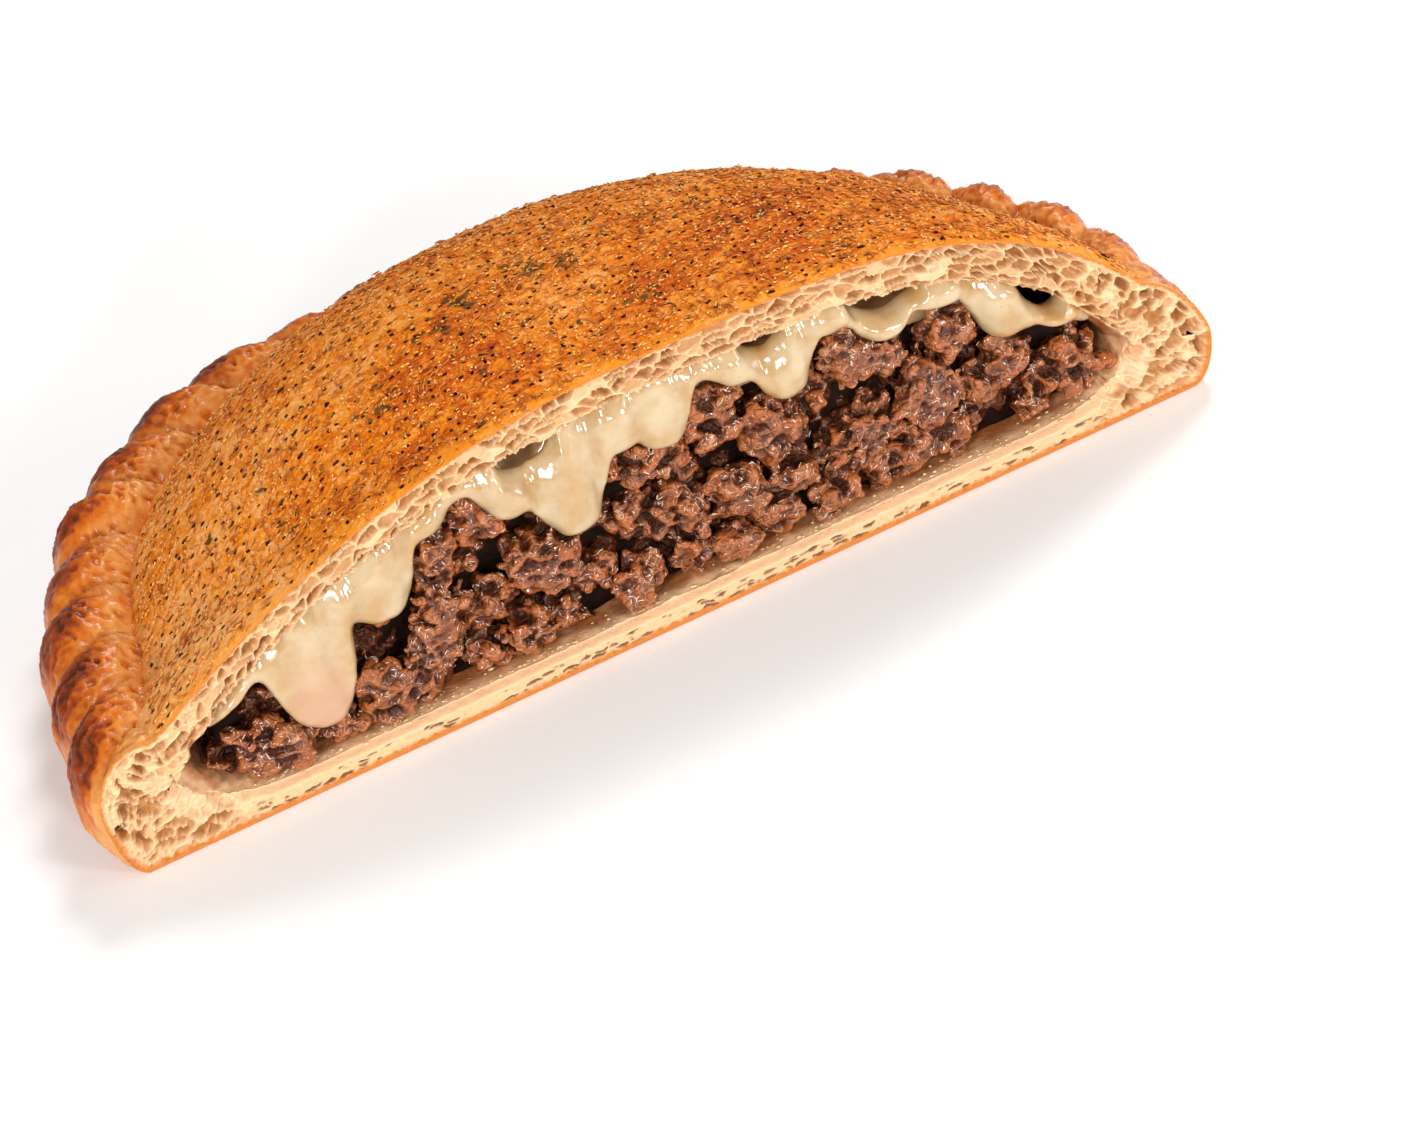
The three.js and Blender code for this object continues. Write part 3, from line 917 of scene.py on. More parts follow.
def even_mesh(mesh: Mesh, name: str, voxel: float, rounds: int) -> Mesh:
    """Evenly meshed union of a mesh's closed parts, with its creases rounded.

    Args:
        mesh: the overlapping parts, which are then removed.
        name: name of the new mesh.
        voxel: size of its faces.
        rounds: rounds of smoothing.

    Returns:
        The new mesh.
    """
    piece = add_object(name, mesh)
    remesh = piece.modifiers.new("even", "REMESH")
    remesh.mode = "VOXEL"
    remesh.voxel_size = voxel * MM
    relax = piece.modifiers.new("relax", "SMOOTH")
    relax.factor = 0.6
    relax.iterations = rounds
    graph = bpy.context.evaluated_depsgraph_get()
    joined = bpy.data.meshes.new_from_object(piece.evaluated_get(graph))
    bpy.data.objects.remove(piece)
    bpy.data.meshes.remove(mesh)
    joined.name = name
    return joined


def store(mesh: Mesh, **values: Array) -> None:
    """Stores numbers on a mesh's points for the materials to read.

    Args:
        mesh: the mesh.
        values: numbers from 0 to 1 by the attribute's name.
    """
    for name, numbers in values.items():
        layer = mesh.attributes.new(name, "FLOAT", "POINT")
        layer.data.foreach_set("value", np.clip(numbers, 0, 1).astype(np.float32))


def show(mesh: Mesh, material: Material, slot: str) -> None:
    """Makes a finished piece of a mesh, on the one body, standing for the node of its slot.

    Args:
        mesh: mesh in the row frame.
        material: its finish.
        slot: name of the imported node that the piece stands for, which is hidden.
    """
    piece = add_object(mesh.name, mesh)
    mesh.materials.append(material)
    mesh.polygons.foreach_set("use_smooth", [True] * len(mesh.polygons))
    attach(piece, "root")
    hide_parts(slot)
    LOG.info("%s: %d faces", piece.name, len(mesh.polygons))


def copies(name: str, points: Array, faces: list) -> Mesh:
    """One mesh of many copies of a small shape.

    Args:
        name: name of the mesh.
        points: layout points, a block for each copy.
        faces: the shape's faces as lists of its vertices.

    Returns:
        The mesh.
    """
    starts = range(0, points.size // 3, points.shape[1])
    mesh = bpy.data.meshes.new(name)
    joined = [[start + i for i in face] for start in starts for face in faces]
    mesh.from_pydata(to_frame(points.reshape(-1, 3)).tolist(), [], joined)
    return mesh


def spread(shape: Array, places: Array, axes: Array) -> Array:
    """Points of a shape's copies at places; axes has its scaled x, y and z in three rows for each."""
    return np.einsum("vk,nkc->nvc", shape, axes) + places[:, None]


def lying(normal: Array, along: Array, sizes: Array) -> Array:
    """Scaled axes of shapes that lie on a surface: along it, across it and out of it."""
    rows = along * sizes[:, :1], np.cross(normal, along) * sizes[:, 1:2], normal * sizes[:, 2:]
    return np.stack(rows, axis=1)


@dataclass
class Dome:
    """Browned top of the shell, with its pits, and the flecks and herbs on it."""

    shell: Shell
    across: int = 344
    deep: int = 178
    overlap: float = 0.018
    pit_spacing: float = 3.3
    lip: tuple = (0.06, 0.14)
    well: tuple = (0.05, -0.7)
    long_pits: float = 0.06
    bits: int = 5200
    herb_spots: tuple = (
        (2, 45, 6, 18), (9, 42, 5, 9), (-15, 44, 5, 14), (-21, 40, 5, 10), (-38, 25, 4, 8), (18, 20, 4, 7),
        (41, 47, 6, 7), (28, 75, 8, 6), (-33, 57, 8, 5), (49, 31, 5, 5), (70, 36, 6, 4), (-12, 90, 12, 5),
    )
    loose_herbs: int = 90

    def surface(self, a: Array, b: Array) -> Array:
        """Layout points of the dome for places in the unit half disc.

        Args:
            a: place along the cut.
            b: place away from it.

        Returns:
            The points.
        """
        theta = np.arctan2(b, a)
        part = self.shell.section(self.shell.arc_at(theta), theta)
        share = np.hypot(a, b) * (part["groove"] + self.overlap)
        z = self.shell.dome_z(share, theta, part, deeper=True)
        return self.shell.polar(self.shell.reach(theta) * share, theta, z)

    def relief(self, points: Array) -> Array:
        """Height of the skin's swells, creases and blisters, which fade out at the cut.

        Args:
            points: layout points of the dome.

        Returns:
            Height of each point.
        """
        plan = points[:, :2]
        curled = plan @ SKIN_TURN + 0.9 * sway(plan, 3.0, 13, 14)
        crease = 0.26 * (1 - np.abs(noise(curled, (2.6, 1.7), 8))) + 0.14 * noise(curled, (1.5, 1.1), 9)
        near, _, ident = cells(plan / 3.2, 21)
        blister = 0.95 * ident * np.maximum(0, 1 - near / 0.36) ** 1.5
        return (0.45 * rough(plan, 26, 3) + crease + blister) * smooth(0, 2.2, points[:, 1])

    def baking(self, points: Array) -> dict:
        """How far each point is baked, with painted light that makes the back slope paler, and how near it is
        to the cut.

        Args:
            points: layout points of the dome.

        Returns:
            The two numbers by the attribute's name.
        """
        x, y = points[:, 0], points[:, 1]
        plan = points[:, :2]
        turned = plan @ SKIN_TURN
        bake = 0.45 + 0.42 * rough(turned, 34, 5, 4) + 0.10 * noise(turned, (7, 3.6), 6)
        # Painted light: the back slope from y 36 to 80 is made paler where the top catches the key light; the
        # lower left is paler too.
        bake = bake - 0.14 * smooth(36, 80, y) - 0.44 * smooth(-36, -104, x) * smooth(86, 8, y)
        bake = bake - 0.2 * smooth(88, 116, x) - 0.1 * smooth(9, 0, y)
        return {"bake": bake, "edge": smooth(6.5, 0.2, y + 2.6 * noise(plan, 4, 12))}

    def pit_seeds(self) -> Array:
        """Places of the pits in the unit half disc, evenly but not regularly spaced.

        Returns:
            The places, one row a pit.
        """
        step = self.pit_spacing / (self.shell.depth * 0.88)
        grid = np.stack(np.meshgrid(np.arange(-1, 1, step), np.arange(0, 1, step)), -1).reshape(-1, 2)
        index = np.round(grid / step).astype(int)
        seeds = grid + step * (0.1 + 0.8 * np.stack([hashed(index, 31), hashed(index, 32)], -1))
        return seeds[(np.hypot(*seeds.T) < 0.965) & (seeds[:, 1] > 0.012) & (hashed(index, 33) < 0.9)]

    def build(self) -> Mesh:
        """Mesh of the dome.

        Returns:
            The mesh, with its pits sunk.
        """
        bm, u, v = sheet(self.across, self.deep)
        a = 2 * u - 1
        outside = [vert for vert, r in zip(bm.verts, np.hypot(a, v)) if r > 1.0]
        move(bm, self.surface(a, v))
        bmesh.ops.delete(bm, geom=outside, context="VERTS")
        for parts, kind in ((bm.edges, "EDGES"), (bm.verts, "VERTS")):
            bmesh.ops.delete(bm, geom=[part for part in parts if not part.link_faces], context=kind)
        mesh = mesh_of("dome_crust", bm)
        lift(mesh, self.relief(points_of(mesh)))
        self.sink_pits(mesh)
        return mesh

    def pit_faces(self, bm: BMesh) -> list:
        """Faces that become pits, one or two side by side for each seed.

        Args:
            bm: the dome, whose pits are drawn nearly oval.

        Returns:
            The faces.
        """
        centres = np.array([f.calc_center_median()[:] for f in bm.faces]) / MM + MIDDLE_OF_BASE
        bm.faces.ensure_lookup_table()
        order = np.argsort(centres[:, 0])
        xs = centres[order, 0]
        taken, pits = set(), []
        for number, spot in enumerate(self.surface(*self.pit_seeds().T)):
            nearby = order[slice(*np.searchsorted(xs, (spot[0] - 0.6, spot[0] + 0.6)))]
            if not len(nearby):
                continue
            face = bm.faces[int(nearby[np.abs(centres[nearby, :2] - spot[:2]).sum(axis=1).argmin()])]
            group = [face]
            draw = hashed(np.array([[number, 5]]), 41)[0]
            if draw > 0.68:
                upright = sorted(face.edges, key=lambda e: -abs((e.verts[0].co - e.verts[1].co).y))
                for edge in upright[: 2 if draw > 1 - self.long_pits else 1]:
                    group += [f for f in edge.link_faces if f is not face]
            verts = {v for f in group for v in f.verts}
            if any(v.index in taken for v in verts):
                continue
            taken.update(v.index for v in verts)
            self.round_off(verts, group)
            pits.extend(group)
        return pits

    def sink_pits(self, mesh: Mesh) -> None:
        """Opens the pits: their faces are inset to a raised lip and then pushed in, and both are marked for
        painted shade.

        Args:
            mesh: the dome.
        """
        bm = bmesh.new()
        bm.from_mesh(mesh)
        pits = self.pit_faces(bm)
        # Painted shade: the pit number darkens each lip to 0.8 and each well fully.
        inside = bm.verts.layers.float.new("pit")
        shared = {"use_boundary": True, "use_even_offset": True}
        for (thickness, depth), dark in ((self.lip, 0.8), (self.well, 1.0)):
            bmesh.ops.inset_region(bm, faces=pits, thickness=thickness * MM, depth=depth * MM, **shared)
            for face in pits:
                for vert in face.verts:
                    vert[inside] = dark
        bm.to_mesh(mesh)
        bm.free()
        LOG.info("pits: %d faces sunk", len(pits))

    @staticmethod
    def round_off(verts: set, group: list) -> None:
        """Draws a pit's corners in and pushes its long sides out, so that it is nearly oval.

        Args:
            verts: the pit's vertices.
            group: its faces.
        """
        middle = sum((v.co for v in verts), Vector()) / len(verts)
        for vert in verts:
            corner = len(group) > 1 and sum(1 for f in vert.link_faces if f in group) == 1
            vert.co = middle + (vert.co - middle) * (0.88 if corner else 1.22)

    def stand(self, seeds: Array, rise: float) -> tuple:
        """Places on the skin.

        Args:
            seeds: places in the unit half disc.
            rise: height over the skin.

        Returns:
            The layout points and their normals.
        """
        step = 0.004
        at = self.surface(*seeds.T)
        along = self.surface(seeds[:, 0] + step, seeds[:, 1]) - at
        back = self.surface(seeds[:, 0], seeds[:, 1] + step) - at
        normal = unit(np.cross(along, back))
        return at + normal * (self.relief(at)[:, None] + rise), normal

    @staticmethod
    def turned_axes(normal: Array, angle: Array, sizes: Array) -> Array:
        """Scaled axes that lie on the skin, turned by an angle about its normal.

        Args:
            normal: normals.
            angle: angles.
            sizes: length, width and height.

        Returns:
            Three rows for each.
        """
        level = unit(np.cross([0.0, 1.0, 0.0], normal))
        along = level * np.cos(angle)[:, None] + np.cross(normal, level) * np.sin(angle)[:, None]
        return lying(normal, along, sizes)

    def curl_mesh(self, name: str, seed: int, lengths: tuple, bow: float, rise: float) -> Mesh:
        """Curled bits of blistered skin, scattered over the dome.

        Args:
            name: name of the mesh.
            seed: seed of their places and sizes.
            lengths: shortest and longest bit.
            bow: how far a bit bends, as a share of its length.
            rise: height of a bit's middle over the skin.

        Returns:
            The joined mesh.
        """
        bm = bmesh.new()
        bmesh.ops.create_cone(bm, cap_ends=True, segments=4, radius1=0.235, radius2=0.18, depth=1.0)
        upright = [e for e in bm.edges if abs(e.verts[0].co.z - e.verts[1].co.z) > 0.5]
        bmesh.ops.subdivide_edges(bm, edges=upright, cuts=2, use_grid_fill=True)
        for vert in bm.verts:
            x, y, z = vert.co
            taper = 1 - 0.55 * (2 * z) ** 2
            vert.co = (z, x * taper + bow * (2 * z) ** 2, y * taper)
        rng = np.random.default_rng(seed)
        seeds = rng.uniform((-1, 0.004), (1, 1), (self.bits * 2, 2))
        density = 0.6 + 0.4 * noise(seeds, 0.16, seed)
        seeds = seeds[(np.hypot(*seeds.T) < 0.97) & (rng.random(len(seeds)) < density)][: self.bits]
        places, normal = self.stand(seeds, rise)
        angle = rng.normal(0.35, 1.2, len(seeds))
        length = rng.uniform(*lengths, len(seeds))
        girth = rng.uniform(0.7, 1.25, len(seeds))
        side = np.sign(rng.random(len(seeds)) - 0.5)
        sizes = np.stack([length * side, girth * side, girth], -1)
        shape, faces = shape_of(bm)
        return copies(name, spread(shape, places, self.turned_axes(normal, angle, sizes)), faces)

    def herb_seeds(self, rng: np.random.Generator) -> Array:
        """Places of the herb flakes in the unit half disc, in clumps and loose.

        Args:
            rng: random numbers.

        Returns:
            The places.
        """
        seeds = []
        for x, y, reach, count in self.herb_spots:
            spots = rng.normal((x, y), reach / 2.6, (count, 2)) - (self.shell.centre_x, 0)
            theta = np.arctan2(spots[:, 1], spots[:, 0])
            groove = self.shell.section(self.shell.arc_at(theta), theta)["groove"]
            rho = np.hypot(*spots.T) / self.shell.reach(theta) / (groove + self.overlap)
            seeds.append(np.stack([rho * np.cos(theta), rho * np.sin(theta)], -1))
        seeds = np.concatenate([*seeds, rng.uniform((-1, 0.03), (1, 0.95), (self.loose_herbs, 2))])
        return seeds[(np.hypot(*seeds.T) < 0.93) & (seeds[:, 1] > 0.02)]

    def herb_mesh(self) -> Mesh:
        """Dark flakes of dried herb baked into the skin.

        Returns:
            The joined mesh.
        """
        bm = bmesh.new()
        bmesh.ops.create_circle(bm, cap_ends=True, segments=8, radius=0.5)
        bmesh.ops.poke(bm, faces=bm.faces[:])
        bmesh.ops.solidify(bm, geom=bm.faces[:], thickness=0.12)
        for vert in bm.verts:
            x, y, z = vert.co
            vert.co = (x, y * (1 - 0.9 * abs(x)) + 0.12 * math.sin(5 * x), z + 0.08 * math.sin(7 * x + 3 * y))
        bmesh.ops.recalc_face_normals(bm, faces=bm.faces[:])
        rng = np.random.default_rng(29)
        places, normal = self.stand(self.herb_seeds(rng), 0.22)
        angle = rng.normal(0.3, 0.8, len(places))
        ranges = ((1.2, 3.6), (0.6, 1.5), (0.8, 1.2))
        sizes = np.stack([rng.uniform(low, high, len(places)) for low, high in ranges], -1)
        shape, faces = shape_of(bm)
        return copies("herb_flakes", spread(shape, places, self.turned_axes(normal, angle, sizes)), faces)

    def dress(self) -> None:
        """Builds and finishes the dome and what lies on it."""
        mesh = self.build()
        store(mesh, **self.baking(points_of(mesh)))
        show(mesh, BakedFinish().material("baked_skin"), "crust")
        pale = PlainFinish("#f6c674", "#e2923a", gloss=0.35).material("pale_fleck")
        flecks = self.curl_mesh("skin_flecks", seed=17, lengths=(0.4, 1.1), bow=0.16, rise=0.26)
        show(flecks, pale, "crust")
        browned = PlainFinish("#e28c34", "#a04a12", gloss=0.45, shine=0.25).material("browned_strand")
        strands = self.curl_mesh("skin_strands", seed=18, lengths=(1.3, 2.9), bow=0.32, rise=0.17)
        show(strands, browned, "crust")
        dried = PlainFinish("#86592a", "#593a18", gloss=0.75, shine=0.1).material("dried_herb")
        show(self.herb_mesh(), dried, "crust")


@dataclass
class Rim:
    """Rope-crimped rim with a glossy browned skin."""

    shell: Shell
    columns: int = 820
    upper_rows: int = 52
    lower_rows: int = 32
    start: float = 0.052
    uneven: float = 0.22

    def fold(self, share: Array, arc: Array, theta: Array) -> Array:
        """Fold height, with each fold a little different in place, height and sharpness.

        Args:
            share: share of the reach.
            arc: arc length.
            theta: direction.

        Returns:
            Heights from 0 to about 1.
        """
        phase = self.shell.phase(share, arc, theta)
        inside = smooth(0, 12, np.minimum(arc, self.shell.half - arc))
        phase = phase + 0.16 * inside * noise(np.stack([phase, np.zeros_like(phase)], -1), 0.9, 61)
        number = np.floor(phase).astype(int)
        own = hashed(np.stack([number, number * 0], -1), 63)
        return self.shell.fold_height(phase) * (1 + self.uneven * inside * (own - 0.5) * 2)

    def build(self) -> Mesh:
        """Mesh of the rim, from the groove over its back and under to the base.

        Returns:
            The mesh, which also says how far it is browned.
        """
        shell = self.shell
        rows = self.upper_rows + self.lower_rows
        bm, u, v = sheet(self.columns, rows)
        arc = u * shell.half
        theta = shell.theta_at(arc)
        t = v * rows / self.upper_rows
        first = shell.section(arc, theta)["groove"] - self.start
        ease = np.sin(np.clip(t, 0, 1) * math.pi / 2)
        share = mix(first, 1, mix(np.clip(t, 0, 1), ease, 0.55))
        fold = self.fold(share, arc, theta)
        beta = np.clip((v * rows - self.upper_rows) / self.lower_rows, 0, 1) * math.pi / 2
        under = shell.lower(beta, arc, self.fold(np.ones_like(arc), arc, theta))
        over = t <= 1
        points = np.where(over[:, None], shell.upper(share, arc, fold), under)
        points[:, 2] -= 0.9 * smooth(0.028, 0, share - first) * over
        move(bm, points)
        mesh = mesh_of("crimped_rim", bm)
        self.wrinkle(mesh, fold, arc, share)
        return mesh

    def wrinkle(self, mesh: Mesh, fold: Array, arc: Array, share: Array) -> None:
        """Adds wrinkles and blisters to the skin and stores how far it is browned.

        Args:
            mesh: the plain rim.
            fold: fold height of its points.
            arc: their arc lengths.
            share: their shares of the reach.
        """
        points = points_of(mesh)
        from_end = np.minimum(arc, self.shell.half - arc)
        strip = np.stack([arc, share * 130], -1)
        slanted = np.stack([arc + 0.9 * points[:, 2], share * 130 + points[:, 2]], -1)
        slanted = slanted + 1.3 * sway(points, 4.5, 76, 77)
        creases = 0.9 * np.abs(noise(slanted, (2.6, 7.0), 71)) + 0.55 * np.abs(noise(slanted, (1.5, 3.2), 72))
        near, beside, own = cells(strip / np.array([3.0, 2.4]), 78)
        dimples = 0.6 * rough(points, 7, 73) + 0.22 * noise(points, 1.5, 74) - 0.35
        dimples = dimples + 0.9 * own * smooth(0, 0.5, beside - near) * smooth(0.09, 0.0, share - 0.9)
        crest = smooth(0.35, 0.95, fold)
        height = (creases * (0.35 + 0.65 * crest) + dimples) * smooth(0, 3, from_end)
        height[points[:, 2] < 0.6] = 0
        lift(mesh, height)
        outward = smooth(0.01, 0.1, share - self.shell.section(arc, self.shell.theta_at(arc))["groove"])
        high = smooth(9, 24, points[:, 2])
        bake = 0.13 + 0.54 * crest * outward * high + 0.28 * outward + 0.14 * rough(strip, 16, 75)
        bake = bake - 0.10 * (1 - high) - 0.35 * smooth(10, 0, from_end)
        store(mesh, bake=bake + 0.55 * stands_out(mesh, 5))

    def dress(self) -> None:
        """Builds and finishes the rim."""
        show(self.build(), RimFinish().material("washed_rim"), "crust")


@dataclass
class Base:
    """Browned flat underside."""

    shell: Shell
    columns: int = 240
    rows: int = 90
    outer: float = 0.955

    def dress(self) -> None:
        """Builds and finishes the underside."""
        bm, u, v = sheet(self.columns, self.rows)
        theta = self.shell.theta_at(u * self.shell.half)
        radius = self.shell.reach(theta) * mix(self.outer, 0.004, v)
        points = self.shell.polar(radius, theta, np.zeros_like(u))
        dents = np.maximum(0, rough(points[:, :2], 5, 81)) * 0.7
        points[:, 2] = dents * smooth(0, 3, points[:, 1]) * smooth(0, 0.05, v)
        move(bm, points)
        mesh = mesh_of("base_crust", bm)
        store(mesh, bake=0.5 + 0.3 * rough(points[:, :2], 22, 82, 4) + 0.5 * dents, edge=0 * u, pit=0 * u)
        show(mesh, BakedFinish().material("baked_base"), "crust")


@dataclass
class Crumb:
    """Cut face of the bread, with its open cells, and the wall of the hollow behind it."""

    shell: Shell
    zone: Zone
    columns: int
    rows: int
    wall_depths: tuple = (0.3, 0.7, 1.2, 1.8, 2.5, 3.3, 4.1, 5.0, 5.9, 6.9, 8.0, 9.3, 11, 13.5, 17, 22)
    bubbles: tuple = (
        (-113.5, 14.5, 8.5, 4.2, 0.5), (-117.2, 9.5, 4.6, 3.2, -0.3), (-109.2, 8.4, 5.6, 3, 0.2),
        (-112.6, 4.6, 6.2, 2.2, 0.1), (-104.2, 4.2, 5.8, 2.4, -0.1), (-115.8, 20.2, 3.8, 3, 0.9),
        (117.2, 20.8, 6.4, 4.4, -0.9), (120.2, 13.6, 4.4, 5.4, 0.3), (115.6, 9.2, 5.2, 3.2, 0.4),
        (112.4, 27.6, 5.6, 2.6, -0.8), (109.2, 4.6, 6, 2.2, 0.1),
    )

    def lines(self) -> tuple:
        """Outer and inner points of each column across the bread, and the outer line with its lengths.

        Returns:
            Outer points, inner points, outer line and its arc lengths.
        """
        lines = self.shell.outer_line(self.zone, 500), self.shell.inner_line(self.zone, 1600)
        lengths = [np.append(0, np.cumsum(np.hypot(*np.diff(line, axis=0).T))) for line in lines]
        level = np.linspace(-86, 92, 60)
        marks = []
        for line, length in zip(lines, lengths):
            marks.append(np.concatenate([[0], np.interp(level, line[:, 0], length), [length[-1]]]))
        at = np.linspace(0, lengths[0][-1], self.columns + 1)
        places = []
        for line, length, where in zip(lines, lengths, (at, np.interp(at, *marks))):
            places.append(np.stack([np.interp(where, length, column) for column in line.T], -1))
        return *places, lines[0], lengths[0]

    @staticmethod
    def from_rind(points: Array, line: Array, lengths: Array, batch: int = 4000) -> tuple:
        """Measures points against the outer line.

        Args:
            points: x and z of the points.
            line: the outer line.
            lengths: arc lengths of its points.
            batch: points that are measured together.

        Returns:
            Distance of each point from the line, and the arc length of the nearest place on it.
        """
        far, arc = np.empty((2, len(points)))
        coarse = line[::2]
        tangent = unit(np.gradient(coarse, axis=0))
        for start in range(0, len(points), batch):
            part = points[start : start + batch]
            apart = np.hypot(part[:, None, 0] - coarse[None, :, 0], part[:, None, 1] - coarse[None, :, 1])
            best = apart.argmin(axis=1)
            off = part - coarse[best]
            along = (off * tangent[best]).sum(axis=1)
            far[start : start + batch] = np.sqrt(np.maximum(0, (off**2).sum(axis=1) - along**2))
            arc[start : start + batch] = lengths[::2][best] + along
        return far, arc

    @staticmethod
    def pores(at: Array, spacing: tuple, seed: int, share: float, deep: float, tight: float = 0.9) -> Array:
        """Depth of round-cornered open cells with thin walls between them.

        Args:
            at: coordinates along the rind and away from it.
            spacing: mean length and height of a cell.
            seed: changes the pattern.
            share: share of the cells that are open.
            deep: depth of an ordinary cell.
            tight: how far a cell reaches from its middle, in cells.

        Returns:
            Depth of each point.
        """
        near, beside, ident = cells(at / np.array(spacing), seed, 0.95)
        bowl = smooth(0.03, 0.24, beside - near) * smooth(tight, 0.45 * tight, near)
        return deep * bowl * smooth(1 - share, 1.06 - share, ident) * (0.55 + 0.75 * ((ident * 7919.0) % 1.0))

    def at_ends(self, x: Array) -> Array:
        """How far a place is in the thick ends of the bread, from 0 to 1."""
        return smooth(92, 106, np.abs(x - self.shell.centre_x))

    def openness(self, points: Array, far: Array, arc: Array) -> tuple:
        """Depth of the opened cells and the painted shade of the flat holes.

        Args:
            points: x and z of the cut face's points.
            far: distance from the rind.
            arc: arc length along the rind.

        Returns:
            Depth in millimetres, and painted shade of the holes from 0 to 1.
        """
        x, z = points.T
        warp = sway(points, 4, 91, 92) + 0.5 * sway(points, 2.0, 87, 86)
        along = np.stack([arc, far], -1) + 0.6 * warp
        fine = self.pores(along, (1.7, 1.0), 94, 0.85, 0.55)
        end = self.pores(along, (4.8, 3.0), 95, 0.62, 3.2, 0.62)
        end = np.maximum(end, self.pores(along, (2.5, 1.8), 90, 0.72, 1.4, 0.66))
        end = np.maximum(end * smooth(0.8, 2.4, far), fine)
        for bubble_x, bubble_z, wide, tall, tilt in self.bubbles:
            dx, dz = x - bubble_x, z - bubble_z
            across = dx * math.cos(tilt) - dz * math.sin(tilt)
            up = dx * math.sin(tilt) + dz * math.cos(tilt)
            inside = np.hypot(across / (0.5 * wide), up / (0.5 * tall)) + 0.4 * noise(points, 1.6, 96)
            end = np.maximum(end, 3.2 * smooth(1.0, 0.5, inside) * (0.7 + 0.3 * noise(points, 2, 97)))
        ends = self.at_ends(x)
        if self.zone is Zone.TOP:
            large = self.pores(along, (5.0, 1.85), 93, 0.95, 2.6)
            layered = np.maximum(large, self.pores(along, (2.6, 1.15), 85, 0.6, 0.7))
            middle = mix(fine, layered, smooth(0.5, 1.6, far))
            dark = np.zeros_like(x)
        else:
            holes = self.pores(along, (4.4, 1.2), 98, 0.56, 1.0, 0.5)
            specks = self.pores(along, (2.1, 0.9), 99, 0.3, 0.5, 0.42)
            holes = np.maximum(holes, specks) * (smooth(0.7, 1.2, far) * smooth(4.4, 3.6, far))
            middle = 0.5 * holes + 0.25 * fine * smooth(4.8, 3.8, far)
            # Painted shade: the flat holes in the base are darkened, away from the ends.
            dark = 0.9 * smooth(0.15, 0.7, holes) * (1 - ends)
        return mix(middle, end, ends) * smooth(0.25, 0.75, far), dark

    def wall_relief(self, flat: Array, back: Array, behind: Array) -> Array:
        """How far the hollow's wall is pushed in.

        Args:
            flat: x and z of the points.
            back: their distance from the cut.
            behind: their distance behind the lip, 0 on the cut face.

        Returns:
            The push of each point as x and z.
        """
        x = flat[:, 0]
        on_wall = behind > 0
        points = np.stack([x, back, flat[:, 1]], -1)
        small = 0.2 * noise(points, 1.1, 105) * smooth(2.5, 0.5, behind)
        lumps = (0.8 * rough(points, 4.5, 104, 2) + small) * on_wall
        lumps = lumps + 1.1 * rough(points, 2.6, 110, 2) * smooth(-86, -94, x)
        closing = (3.0 * smooth(-86, -102, x) + 3.0 * smooth(92, 106, x)) * smooth(1, 9, behind)
        lumps = lumps * smooth(0, 1.2, behind) + closing * (1 + 0.3 * noise(points, 7, 108)) * on_wall
        return unit(np.array([self.shell.centre_x, 20.0]) - flat) * lumps[:, None]

    def build(self) -> Mesh:
        """Mesh of the cut face and the wall behind its lip.

        Returns:
            The mesh, with the numbers that its finish reads.
        """
        top = self.zone is Zone.TOP
        rows = self.rows + len(self.wall_depths)
        bm, u, v = sheet(self.columns, rows)
        outer, inner, line, lengths = self.lines()
        column = np.round(u * self.columns).astype(int)
        row = np.round(v * rows).astype(int)
        across = np.clip(row / self.rows, 0, 1)
        ragged = 0.35 * noise(inner, 2.4, 101)
        ragged = ragged + 0.3 * noise(inner, 0.9, 102) if top else 0.3 * ragged
        strayed = unit(inner - outer) * ragged[:, None]
        flat = outer[column] + (inner + strayed - outer)[column] * across[:, None]
        far, arc = self.from_rind(flat, line, lengths)
        far = np.where(row == 0, 0, far)
        depth, dark = self.openness(flat, far, arc)
        skin = 0.12 * noise(flat, 1.1, 103) * smooth(0.2, 1, far)
        if not top:
            skin = skin + 0.5 * np.abs(noise(flat, 1.5, 109)) * smooth(0.15, 0.6, far) * smooth(2.4, 1.2, far)
        back = depth + skin + (1.0 if top else 2.2) * smooth(0.72, 1.0, across) ** 2
        behind = np.array((0.0, *self.wall_depths))[np.clip(row - self.rows, 0, len(self.wall_depths))]
        lip = np.zeros(self.columns + 1)
        lip[column[row == self.rows]] = back[row == self.rows]
        eased = lip[column] * np.exp(-behind / 1.5)
        back = np.where(behind > 0, behind + mix(eased, 0.8, smooth(0, 4, behind)), back)
        flat = flat + self.wall_relief(flat, back, behind) - strayed[column] * smooth(0, 2.6, behind)[:, None]
        points = np.stack([flat[:, 0], back, flat[:, 1]], -1)
        move(bm, points)
        if top:
            bmesh.ops.reverse_faces(bm, faces=bm.faces[:])
        mesh = mesh_of(f"crumb_{self.zone.value}", bm)
        store(mesh, hole=dark, **self.tints(points, far, depth, across, behind))
        return mesh

